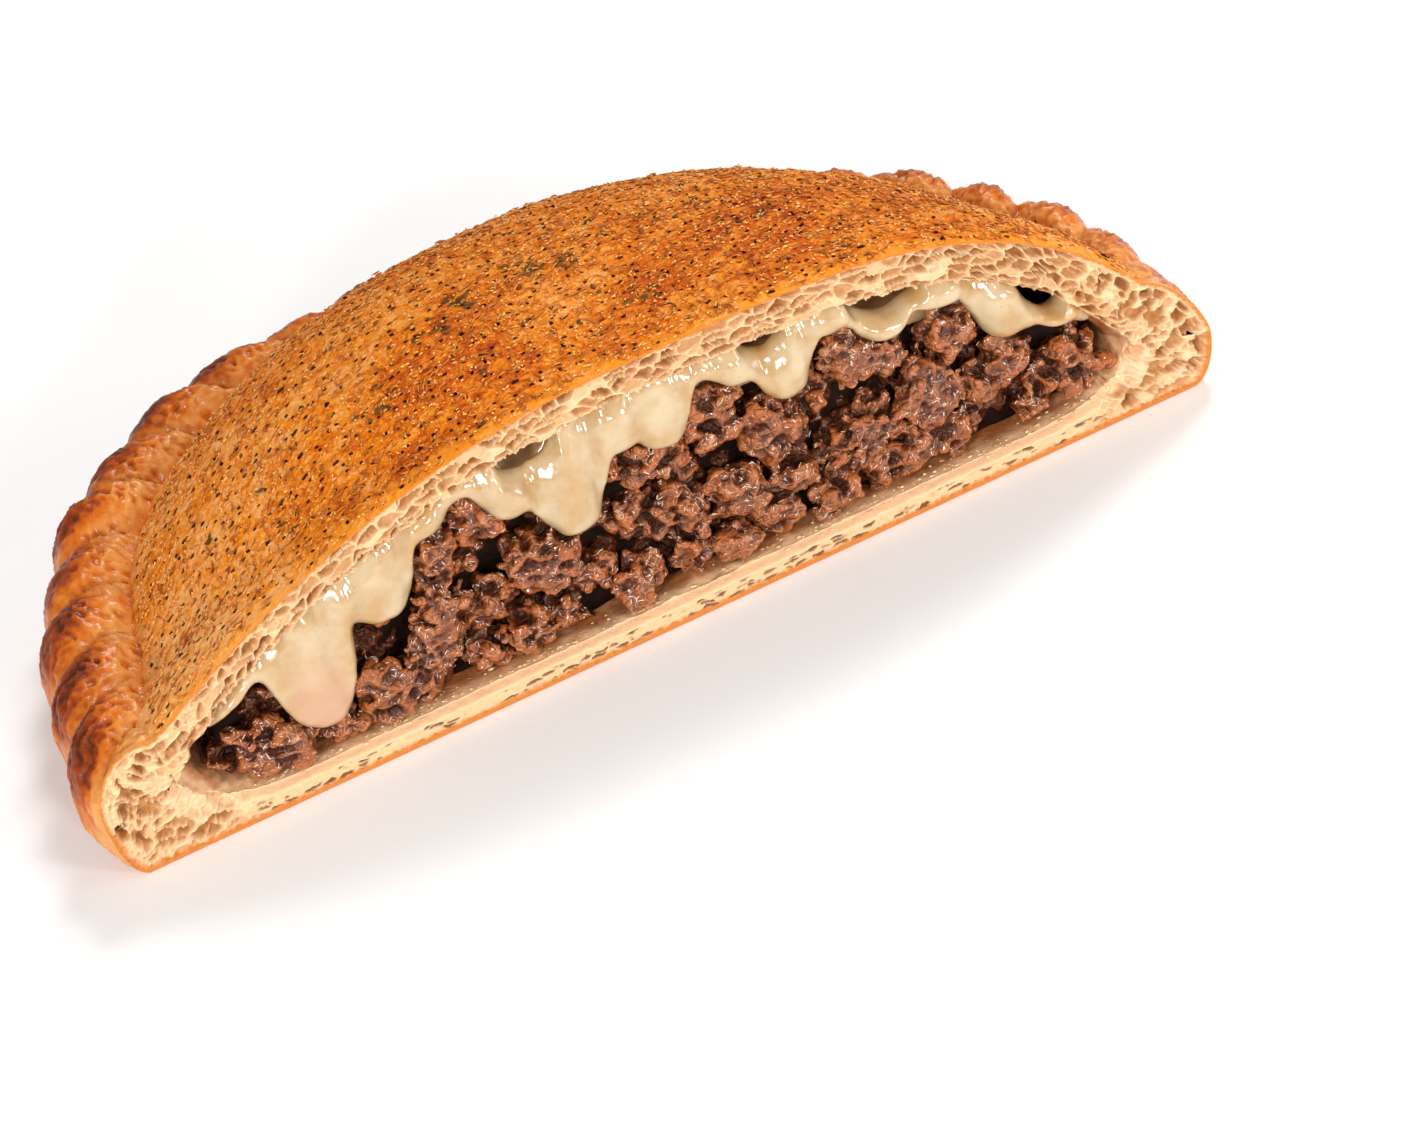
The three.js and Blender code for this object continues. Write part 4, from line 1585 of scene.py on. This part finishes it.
    def tints(self, points: Array, far: Array, depth: Array, across: Array, behind: Array) -> dict:
        """Numbers that the crumb's finish reads.

        Args:
            points: the mesh's points.
            far: their distance from the rind.
            depth: depth of the opened cells.
            across: share of the way through the bread.
            behind: distance behind the lip, 0 on the cut face.

        Returns:
            The numbers by name.
        """
        x, z = points[:, 0], points[:, 2]
        on_wall = behind > 0
        thick = 1.1 if self.zone is Zone.TOP else 2.1
        rind = smooth(thick, 0.3 * thick, far + 0.35 * noise(points, 1.4, 106)) * ~on_wall
        torn = on_wall * np.maximum(smooth(-84, -94, x), smooth(99, 106, x))
        wet = on_wall - 0.75 * torn
        if self.zone is Zone.BASE:
            wet = np.maximum(wet, smooth(0.62, 0.9, across) * 0.8)
            wander = noise(points[:, :2], mix(4, 3, torn[:, None]), 107)
            soaked = smooth(2.2, 5.5, behind + mix(0.9, 3.0, torn) * wander)
            juice = soaked * on_wall * 0.9 * mix(1, 0.75, torn)
        else:
            right = smooth(96, 106, x) * smooth(34, 22, z) * smooth(1.5, 6, behind)
            # Juice stain on the left end's wall, which is also painted warm shade in the hollow there.
            left = smooth(-92, -101, x) * 0.55 * smooth(2, 8, behind)
            juice = on_wall * np.maximum(right, left)
        ends = self.at_ends(x)
        # Painted shade: deeper cells are darker, more so away from the ends; the torn end walls take the
        # darker colour in noisy patches.
        hollow = np.clip(depth / mix(2.3, 1.6, ends) + 0.14 * (1 - ends), 0, 1) * ~on_wall
        hollow = hollow + torn * (0.25 + 0.75 * smooth(-0.1, 0.45, rough(points, 2.6, 110, 2)))
        return {"depth": hollow, "rind": rind, "wet": wet, "juice": juice}

    def dress(self, material: Material) -> None:
        """Builds the cut face and gives it the crumb's finish."""
        show(self.build(), material, "crust")


@dataclass
class Filling:
    """Rise of the filling that the cheese and the beef share."""

    shell: Shell
    rise: float = 13.7
    rise_x: float = 17.0
    rise_span: float = 230.0

    def middle_rise(self, x: Array) -> Array:
        """Extra height of the filling over x."""
        return self.rise * np.cos(math.pi * (x - self.rise_x) / self.rise_span) ** 2


@dataclass
class Cheese(Filling):
    """Melted cheese that hangs in soft tongues at the cut."""

    drips: tuple = (
        (-89, 31, 14), (-80, 30, 11), (-73, 9.5, 12), (-64, 31, 11), (-55, 25.5, 13), (-43, 38.5, 13),
        (-24, 30.7, 12), (-12, 17.8, 13), (0, 31.5, 12), (10, 26.5, 11), (19, 39.5, 12), (28, 33.5, 12),
        (37.5, 26.5, 11), (49, 39, 13), (60, 33, 13), (72, 37, 13), (87, 25.4, 14), (97, 25, 13),
    )
    gaps: tuple = ((-18.5, 14, 6.5), (34, 11, 5), (61, 17, 5.5), (94, 10, 5))
    start: float = -97.0
    end: float = 105.0
    back: float = 9.5
    least: float = 4.5
    softness: float = 1.6
    columns: int = 420
    around: int = 56
    voxel: float = 0.55

    def low(self, x: Array) -> Array:
        """Height of the cheese's lower edge over x, eased where two tongues meet.

        Args:
            x: places along the cut.

        Returns:
            Height over each place.
        """
        heights = [self.shell.ceiling_at(x) - self.least]
        for at, foot, width in self.drips:
            off = np.abs(x - at) / (width / 2)
            heights.append(foot + self.middle_rise(at) + 0.35 * width * off**3)
        stack = np.stack(heights)
        over = np.exp(-(stack - stack.min(0)) / self.softness)
        return -self.softness * np.log(over.sum(0)) + stack.min(0)

    def gap(self, x: Array) -> Array:
        """Depth of the dark gaps under the ceiling over x.

        Args:
            x: places along the cut.

        Returns:
            Depth over each place.
        """
        deep = np.zeros_like(x)
        for at, width, height in self.gaps:
            deep = np.maximum(deep, (height + 2) * np.sqrt(np.maximum(0, 1 - (2 * (x - at) / width) ** 2)))
        return deep

    def front(self, x: Array) -> Array:
        """Distance of the cheese's front from the cut over x, least where a tongue swells."""
        swells = [1 - (np.abs(x - at) / (width / 2)) ** 2 for at, _, width in self.drips]
        return 3.2 - 2.2 * smooth(0, 1, np.max(swells, axis=0))

    def build(self) -> Mesh:
        """Mesh of the cheese that hangs at the cut, lofted along x and then melted together.

        Returns:
            The melted mesh.
        """
        bm, u, v = sheet(self.columns, self.around)
        x = mix(self.start, self.end, u)
        low, front = self.low(x), self.front(x)
        top = np.maximum(self.shell.ceiling_at(x) + 1.4 - self.gap(x), low + 2.5)
        turn = 2 * math.pi * v
        middle, deep = (front + self.back) / 2, (self.back - front) / 2
        up = np.sign(np.sin(turn)) * np.abs(np.sin(turn)) ** 0.9
        forward = np.sign(np.cos(turn)) * np.abs(np.cos(turn)) ** 0.7
        lean = 1.8 * smooth(-0.2, 1, up) * (forward > 0)
        closing = np.sqrt(np.clip(1 - ((u - 0.5) * 2) ** 40, 0.02, 1))
        y = mix(middle, middle - deep * forward + lean, closing)
        z = mix((top + low) / 2, (top + low) / 2 + (top - low) / 2 * up, closing)
        move(bm, np.stack([x, y, z], -1))
        bmesh.ops.remove_doubles(bm, verts=bm.verts[:], dist=0.02 * MM)
        bmesh.ops.holes_fill(bm, edges=[e for e in bm.edges if e.is_boundary], sides=200)
        bmesh.ops.recalc_face_normals(bm, faces=bm.faces[:])
        melted = even_mesh(mesh_of("cheese_rough", bm), "melted_cheese", self.voxel, 14)
        points = points_of(melted)
        lift(melted, 0.55 * noise(points, (9, 7, 12), 111) + 0.16 * noise(points, 3.4, 112))
        self.stain(melted)
        return melted

    def stain(self, melted: Mesh) -> None:
        """Stores where the cheese is mixed with juice.

        Args:
            melted: the finished mesh.
        """
        points = points_of(melted)
        x, z = points[:, 0], points[:, 2]
        drip = smooth(8, 4, np.abs(x + 73)) * smooth(34, 18, z - self.middle_rise(x))
        foot = smooth(2.2, 0, z - self.low(x)) * 0.35
        store(melted, juice=np.maximum(drip * 0.75, foot * (0.6 + 0.4 * noise(points, 4, 113))))

    def carved(self, points: Array) -> Array:
        """How far the dark gaps lower the top of the layer at its points."""
        return self.gap(points[:, 0]) * smooth(34, 14, points[:, 1])

    def dress(self) -> None:
        """Builds and finishes the cheese at the cut and its layer under the ceiling behind."""
        material = CheeseFinish().material("melted_cheese")
        show(self.build(), material, "cheese")
        body = HollowBody(self.shell, front=8.6, low=0.73, high=0.985, reach=0.86)
        behind = body.build("cheese_layer", self.carved)
        store(behind, juice=np.full(len(behind.vertices), 0.1))
        show(behind, material, "cheese")


@dataclass
class HollowBody:
    """Closed body that fills the hollow between two levels, behind a flat front."""

    shell: Shell
    front: float
    low: float
    high: float
    reach: float
    cuts: int = 60
    bumps: float = 0.5

    def build(self, name: str, carve: Callable = None) -> Mesh:
        """Mesh of a cube's faces mapped into the hollow.

        Args:
            name: name of the mesh.
            carve: function from points to how far the upper side is lowered there, or None.

        Returns:
            The closed mesh.
        """
        shell = self.shell
        bm = bmesh.new()
        bmesh.ops.create_cube(bm, size=2.0)
        bmesh.ops.subdivide_edges(bm, edges=bm.edges[:], cuts=self.cuts, use_grid_fill=True)
        cube = np.array([v.co[:] for v in bm.verts])
        a, t, h = cube[:, 0], (cube[:, 1] + 1) / 2, (cube[:, 2] + 1) / 2
        wide = np.where(a > 0, shell.reach_right, shell.reach_left) * shell.cavity_share * self.reach
        deep = shell.depth * shell.cavity_share * self.reach
        power = np.where(a > 0, shell.square_right, shell.square_left)
        x = shell.centre_x + a * wide * 0.985
        reach_y = deep * (1 - np.clip(np.abs(a) * 0.985, 0, 1) ** power) ** (1 / power)
        y = mix(self.front, np.maximum(reach_y, self.front + 2), t)
        theta = np.arctan2(y, x - shell.centre_x)
        share = np.clip(np.hypot(x - shell.centre_x, y) / (shell.reach(theta) * shell.cavity_share), 0, 0.97)
        floor, ceiling = shell.floor_z(share) + 0.4, shell.ceiling_z(share, theta) - 0.4
        points = np.stack([x, y, mix(floor, ceiling, mix(self.low, self.high, h))], -1)
        if carve is not None:
            points[:, 2] -= carve(points) * h
        points[:, 1] += self.bumps * rough(points, 5, 121) * (t < 0.01)
        move(bm, points)
        return mesh_of(name, bm)


@dataclass
class Beef(Filling):
    """Chopped browned beef: torn pieces at the cut over a near-black core, which is painted shade that shows
    in the gaps between them.
    """

    pieces: tuple = (
        (-88, 13.5, 13, 14, 0.2, 7), (-78, 22, 12, 13, -0.3, 8), (-82, 10.5, 11, 10, 0.4, 5.5),
        (-71, 9, 13, 8, 0, 5.5), (-60, 11.5, 12, 15, 0.2, 5.5), (-63.5, 23, 16, 11, 0.15, 9),
        (-46.5, 18, 11, 21, 0.45, 5.5), (-42, 31, 15, 13, -0.2, 6.5), (-31, 33, 10, 10, 0.3, 7),
        (-34.5, 16, 13, 14, -0.2, 6), (-21.5, 19, 17, 15, 0.3, 5.5), (-12.5, 12.5, 13, 12, -0.3, 6),
        (-29, 8.5, 11, 9, 0.1, 6), (-38, 8, 9, 7, 0.2, 5.5), (-14, 23, 11, 9, 0, 8.5),
        (1, 16.5, 14, 13, 0.3, 6), (6, 25.5, 15, 11, -0.1, 7.5), (21, 27, 13, 20, 0.15, 6),
        (21.5, 14.5, 13, 13, -0.2, 5.5), (10.5, 14.5, 11, 13, 0.2, 6), (31.5, 22, 13, 15, -0.3, 6.5),
        (33, 13, 11, 11, 0.1, 5.5), (54, 31, 18, 12, 0.1, 6), (49.5, 15, 18, 14, 0.1, 5.5),
        (66.5, 19, 13, 17, -0.5, 5.5), (69, 9, 11, 9, 0.1, 5.5), (73, 29, 13, 12, 0.2, 7.5),
        (79, 17, 10, 12, -0.1, 6.5), (84.5, 20, 11, 12, 0.3, 7), (88.5, 11, 10, 10, -0.2, 5.5),
        (99, 13.5, 13, 14, 0.2, 7), (42, 24, 12, 13, 0.2, 8.5), (60, 9, 10, 9, 0.3, 7),
        (-52, 8.5, 9, 7, 0.1, 6), (-4, 29, 12, 11, 0.1, 8.5), (-20, 7.5, 11, 8, 0.2, 6.5),
        (-4, 7.5, 11, 8, -0.2, 6), (8, 7.5, 10, 8, 0.3, 6.5), (18, 7, 10, 8, 0, 6),
        (29, 7.5, 12, 8, 0.2, 6.5), (42, 8, 12, 8, -0.1, 6), (53, 7.5, 10, 7, 0.2, 6.5),
    )
    slabs: tuple = (5, 6, 22, 23, 24)
    thick: float = 10.0
    second_row: float = 12.4
    groups: tuple = ((-200, -66), (-66, -36), (-36, -8), (-8, 20), (20, 52), (52, 200))
    voxel: float = 0.4
    # Direction that a surface faces where the painted glints are put.
    glint_facing: tuple = (0.1, -0.6, 0.79)
    streak_share: float = 0.05
    cheese: Cheese = field(init=False)

    def __post_init__(self) -> None:
        """Notes the cheese that the beef lies behind."""
        self.cheese = Cheese(self.shell)

    def heap(self) -> list:
        """Pieces at the cut, and smaller ones behind that show between them.

        Returns:
            x, z, width, height, tilt and distance from the cut of each piece.
        """
        rng = np.random.default_rng(61)
        behind = []
        for x in np.arange(-92, 103, 9.5):
            for z in np.arange(10, self.shell.ceiling_at(x) - self.middle_rise(x) - 12, 8.5):
                size = rng.uniform(9.5, 12.5, 2)
                middle = x + rng.normal(0, 1.2), z + rng.normal(0, 1.0)
                behind.append((*middle, *size, rng.normal(0, 0.4), self.second_row))
        return [*self.pieces, *behind]

    @staticmethod
    def directions(count: int) -> Array:
        """Evenly spread directions.

        Args:
            count: how many.

        Returns:
            Unit vectors, one a row.
        """
        k = np.arange(count) + 0.5
        height = 1 - 2 * k / count
        turn = k * math.pi * (3 - math.sqrt(5))
        ring = np.sqrt(1 - height**2)
        return np.stack([ring * np.cos(turn), ring * np.sin(turn), height], -1)

    def strands(self, size: tuple, tear: Tear, rng: np.random.Generator) -> tuple:
        """Torn strands that make up one piece, about its middle.

        Args:
            size: width, depth and height of the piece.
            tear: how the piece is torn.
            rng: random numbers of the piece.

        Returns:
            Middles of the strands, and for each three rows with its scaled axes; the first is the body.
        """
        half = np.array(size) * 0.5
        out = self.directions(int(4 * math.pi * np.mean(half) ** 2 / tear.spacing**2))
        out = out + rng.normal(0, 0.12, out.shape)
        out = out[out[:, 1] < 0.45]
        out /= (np.abs(out) ** tear.power).sum(1, keepdims=True) ** (1 / tear.power)
        middles = out * half * rng.uniform(tear.inner, 0.82, (len(out), 1))
        grain = rng.normal(size=3) * (1, 0.5, 1)
        along = grain / np.linalg.norm(grain) + rng.normal(0, tear.jitter, out.shape)
        along = unit(along + out * 1.4 * (rng.random((len(out), 1)) < tear.loose))
        side = unit(np.cross(along, out), TINY)
        girth = rng.uniform(*tear.thick, (2, len(out), 1)) / 2
        length = rng.uniform(*tear.long, (len(out), 1)) / 2
        axes = np.stack([side * girth[0], along * length, np.cross(along, side) * girth[1]], axis=1)
        body = np.diag(half * tear.body)[None]
        return np.concatenate([np.zeros((1, 3)), middles]), np.concatenate([body, axes])

    def gather(self, group: tuple, shape: Array) -> tuple:
        """Strands of all pieces whose middle lies between two places along x.

        Args:
            group: the two places.
            shape: points of one strand, a unit ball.

        Returns:
            The strands' points, and the middle and reach of each slab.
        """
        points, slabs = [], []
        for number, (x, z, wide, tall, tilt, back) in enumerate(self.heap()):
            if not group[0] <= x < group[1]:
                continue
            rng = np.random.default_rng(500 + number)
            risen = z + self.middle_rise(x) * min(1, max(0, z / 26))
            y = back + 2.4 * (number % 2) + rng.uniform(-0.4, 0.6)
            place = np.array([x, y, max(risen, self.shell.crust_base + tall * 0.48)])
            kind = Meat.SLAB if number in self.slabs else Meat.LUMP
            if kind is Meat.SLAB:
                slabs.append((place, 0.45 * max(wide, tall)))
            strands = self.strands((wide * 0.98, self.thick * 0.95, tall * 0.98), kind.value, rng)
            piece = spread(shape, *strands).reshape(-1, 3)
            piece = piece + 1.5 * sway(piece + 37.0 * (number + 1), 6.0, 131, 132, 133)
            c, s = math.cos(tilt), math.sin(tilt)
            points.append(piece @ np.array([[c, 0, -s], [0, 1, 0], [s, 0, c]]) + place)
        return self.settle(np.concatenate(points)), slabs

    def build(self, group: tuple, name: str) -> Mesh:
        """Mesh of all pieces whose middle lies between two places along x.

        Args:
            group: the two places.
            name: name of the mesh.

        Returns:
            The mesh, which also stores how far each point stands out, as painted shade that darkens creases,
            clefts and the pieces deeper in the heap.
        """
        bm = bmesh.new()
        bmesh.ops.create_icosphere(bm, subdivisions=2, radius=1.0)
        shape, faces = shape_of(bm)
        points, slabs = self.gather(group, shape)
        mesh = even_mesh(copies(name, points.reshape(-1, len(shape), 3), faces), name, self.voxel, 3)
        points = points_of(mesh)
        folds = 1 - 2 * np.abs(noise(points, (4.4, 4.4, 3.0), 153))
        creases = 1 - 2 * np.abs(noise(points, (2.1, 2.1, 1.5), 155))
        even = np.zeros(len(points))
        for place, reach in slabs:
            even = np.maximum(even, smooth(1.5, 0.8, np.linalg.norm(points - place, axis=1) / reach))
        wrinkle = mix(0.85, 0.35, even) * folds + mix(0.3, 0.36, even) * creases
        lift(mesh, wrinkle + (0.2 * noise(points, 3.6, 154) - mix(0.45, 0.2, even)))
        # Painted shade: creases and clefts between pieces score low, and pieces deeper behind the cut are
        # darkened.
        crag = 0.46 + 0.36 * stands_out(mesh, 8) + 0.5 * stands_out(mesh, 70)
        store(mesh, crag=crag * (1 - 0.8 * smooth(4.5, 10.5, points[:, 1])))
        return mesh

    def settle(self, points: Array) -> Array:
        """Keeps pieces behind the cut, over the floor, under the ceiling and behind the cheese.

        Args:
            points: their points.

        Returns:
            The settled points.
        """
        x, y, z = points.T.copy()
        x = np.clip(x, -104.5, 109.5)
        least = 0.6 + 0.5 * noise(points, 5, 141)
        y = np.where(y < least + 2, least + 2 * np.exp((y - least - 2) / 2), y)
        floor = self.shell.floor_at(x) + 0.15
        z = np.where(z < floor + 1, floor + np.exp(np.minimum(z - floor - 1, 0)), z)
        z = np.minimum(z, self.shell.ceiling_at(x) - 0.6)
        under = smooth(-0.6, 1.6, z - self.cheese.low(x))
        return np.stack([x, mix(y, np.maximum(y, self.cheese.front(x) + 3.2), under), z], -1)

    def streaks(self, meshes: list) -> Mesh:
        """Thin curved pale streaks that stand for glints, as painted highlights, on the parts that stand out
        at the cut and face up and toward the front.

        Args:
            meshes: the pieces of beef.

        Returns:
            The joined streaks.
        """
        bm = bmesh.new()
        bmesh.ops.create_icosphere(bm, subdivisions=1, radius=0.5)
        for vert in bm.verts:
            vert.co.y += 1.6 * vert.co.x**2
        rng = np.random.default_rng(77)
        places, normals = [], []
        for mesh in meshes:
            points, facing = points_of(mesh), normals_of(mesh)
            crag = np.zeros(len(points), np.float32)
            mesh.attributes["crag"].data.foreach_get("value", crag)
            # Painted highlights go where the surface faces up and forward and stands out.
            glint_spots = (facing @ self.glint_facing > 0.45) & (crag > 0.42) & (noise(points, 5, 161) > -0.15)
            chosen = rng.choice(np.flatnonzero(glint_spots), int(glint_spots.sum() * self.streak_share), replace=False)
            places.append(points[chosen])
            normals.append(facing[chosen])
        normal = np.concatenate(normals)
        level = unit(np.cross(normal, rng.normal(size=normal.shape)))
        sizes = rng.uniform((0.5, 0.12, 0.14), (1.7, 0.22, 0.2), normal.shape)
        shape, faces = shape_of(bm)
        points = spread(shape, np.concatenate(places) + 0.03 * normal, lying(normal, level, sizes))
        return copies("painted_glint_streaks", points, faces)

    def dress(self) -> None:
        """Builds and finishes the beef."""
        material = BeefFinish().material("wet_beef")
        meshes = [self.build(group, f"beef_pieces_{number + 1}") for number, group in enumerate(self.groups)]
        for mesh in meshes:
            show(mesh, material, "steak")
        # Painted highlight: near-white streaks that stand for glints on the wet beef.
        glint_finish = PlainFinish("#fff2e4", "#e2b48e", gloss=0.08, shine=0.5).material("painted_glint")
        show(self.streaks(meshes), glint_finish, "steak")
        # Painted shade: the core is near black so that the gaps between the pieces read as deep shadow.
        core = HollowBody(self.shell, front=9.6, low=0.0, high=0.7, reach=0.92, bumps=1.6).build("beef_core")
        show(core, PlainFinish("#1f0d06", "#120703", gloss=0.7, shine=0.1).material("painted_shade_core"), "steak")


@dataclass
class Juice:
    """Small beads of fat and juice that glint on the floor of the cut."""

    shell: Shell
    beads: int = 420
    sizes: tuple = (0.12, 0.42)
    band: tuple = (0.9, 7.0)

    def dress(self) -> None:
        """Scatters and finishes the beads."""
        bm = bmesh.new()
        bmesh.ops.create_uvsphere(bm, u_segments=10, v_segments=6, radius=1.0)
        shape, faces = shape_of(bm)
        rng = np.random.default_rng(41)
        x = rng.uniform(-92, 100, self.beads)
        drawn = rng.uniform(*self.band, self.beads)
        y = np.where(rng.random(self.beads) < 0.5, rng.normal(3.4, 0.35, self.beads), drawn)
        size = rng.uniform(*self.sizes, self.beads) * rng.uniform(0.6, 1, self.beads)
        places = np.stack([x, y, self.shell.floor_at(x) + 0.15 * size], -1)
        sizes = np.stack([size * rng.uniform(1, 1.8, self.beads), size, size * 0.6], -1)
        mesh = copies("juice_beads", spread(shape, places, np.eye(3)[None] * sizes[:, :, None]), faces)
        p = Painter("clear_juice")
        colour = p.blend(p.span(p.grain(2.0, 2), 0.3, 0.7), "#f3d9ab", "#d99a55")
        show(mesh, p.finish(colour, 0.08, Coat_Weight=1.0, Coat_Roughness=0.03), "steak")


@dataclass
class Studio:
    """Plain floor, soft lights and the camera."""

    target: tuple = (6.76, -66.83, 13.245)
    azimuth: float = -13.0
    elevation: float = 38.0
    roll: float = -16.724
    distance: float = 676.63
    lens: float = 85.0
    sensor: float = 36.0
    floor_size: float = 8.0
    lit_height: float = 0.03
    ambient: float = 0.36
    lights: tuple = (
        ("key_light", (0.50, 0.50, 0.95), 0.36, 7.6),
        ("front_light", (-0.45, -0.85, 0.75), 0.14, 3.2),
        ("side_light", (0.95, -0.50, 0.40), 0.28, 1.6),
        ("right_glint", (0.60, -0.90, 0.26), 0.14, 4.0),
        ("left_glint", (-0.80, -0.75, 0.26), 0.15, 4.4),
        ("low_light", (0.02, -1.12, 0.40), 0.12, 3.2),
    )

    def camera(self) -> None:
        """Places the camera at the photograph's viewing angle."""
        a, e, r = (math.radians(v) for v in (self.azimuth, self.elevation, self.roll))
        back = Vector((math.sin(a) * math.cos(e), -math.cos(a) * math.cos(e), math.sin(e)))
        right = Vector((math.cos(a), math.sin(a), 0))
        up = back.cross(right)
        side = right * math.cos(r) + up * math.sin(r)
        top = -right * math.sin(r) + up * math.cos(r)
        data = bpy.data.cameras.new("camera")
        data.lens, data.sensor_width = self.lens, self.sensor
        data.clip_start, data.clip_end = 0.01, 20
        camera = add_object("camera", data)
        place = (Vector(self.target) + back * self.distance) * MM
        camera.matrix_world = Matrix.Translation(place) @ Matrix((side, top, back)).transposed().to_4x4()
        bpy.context.scene.camera = camera

    def light(self) -> None:
        """Adds the area lights, aimed at the food, and the pale surroundings."""
        for name, place, size, power in self.lights:
            data = bpy.data.lights.new(name, "AREA")
            data.size, data.energy = size, power
            lamp = add_object(name, data)
            lamp.location = place
            aim = Vector((0, 0, self.lit_height)) - Vector(place)
            lamp.rotation_euler = aim.to_track_quat("-Z", "Y").to_euler()
        world = bpy.data.worlds.new("surroundings")
        world.use_nodes = True
        sky = world.node_tree.nodes["Background"].inputs
        sky["Color"].default_value = (1.0, 0.99, 0.97, 1)
        sky["Strength"].default_value = self.ambient
        bpy.context.scene.world = world
        bpy.context.scene.view_settings.view_transform = "Standard"

    def floor(self) -> None:
        """Adds the plain pale floor."""
        bm = bmesh.new()
        bmesh.ops.create_grid(bm, x_segments=8, y_segments=8, size=self.floor_size / 2)
        bmesh.ops.translate(bm, verts=bm.verts[:], vec=(0, 0, -0.0002))
        mesh = mesh_of("floor", bm)
        p = Painter("pale_floor")
        mesh.materials.append(p.finish(p.blend(p.span(p.grain(400, 2), 0.2, 0.8), "#fefefe", "#fcfcfc"), 0.8))
        floor = add_object("floor", mesh)

    def build(self) -> None:
        """Builds the whole studio."""
        self.camera()
        self.light()
        self.floor()


def main() -> None:
    """Builds the camera, the bread, the filling and the studio in order."""
    logging.basicConfig(level=logging.INFO, format="%(message)s")
    shell = Shell()
    Studio().build()
    Dome(shell).dress()
    Rim(shell).dress()
    Base(shell).dress()
    bread = CrumbFinish().material("open_crumb")
    Crumb(shell, Zone.TOP, columns=1500, rows=44).dress(bread)
    Crumb(shell, Zone.BASE, columns=1300, rows=28).dress(bread)
    Cheese(shell).dress()
    Beef(shell).dress()
    Juice(shell).dress()


if __name__ == "__main__":
    main()
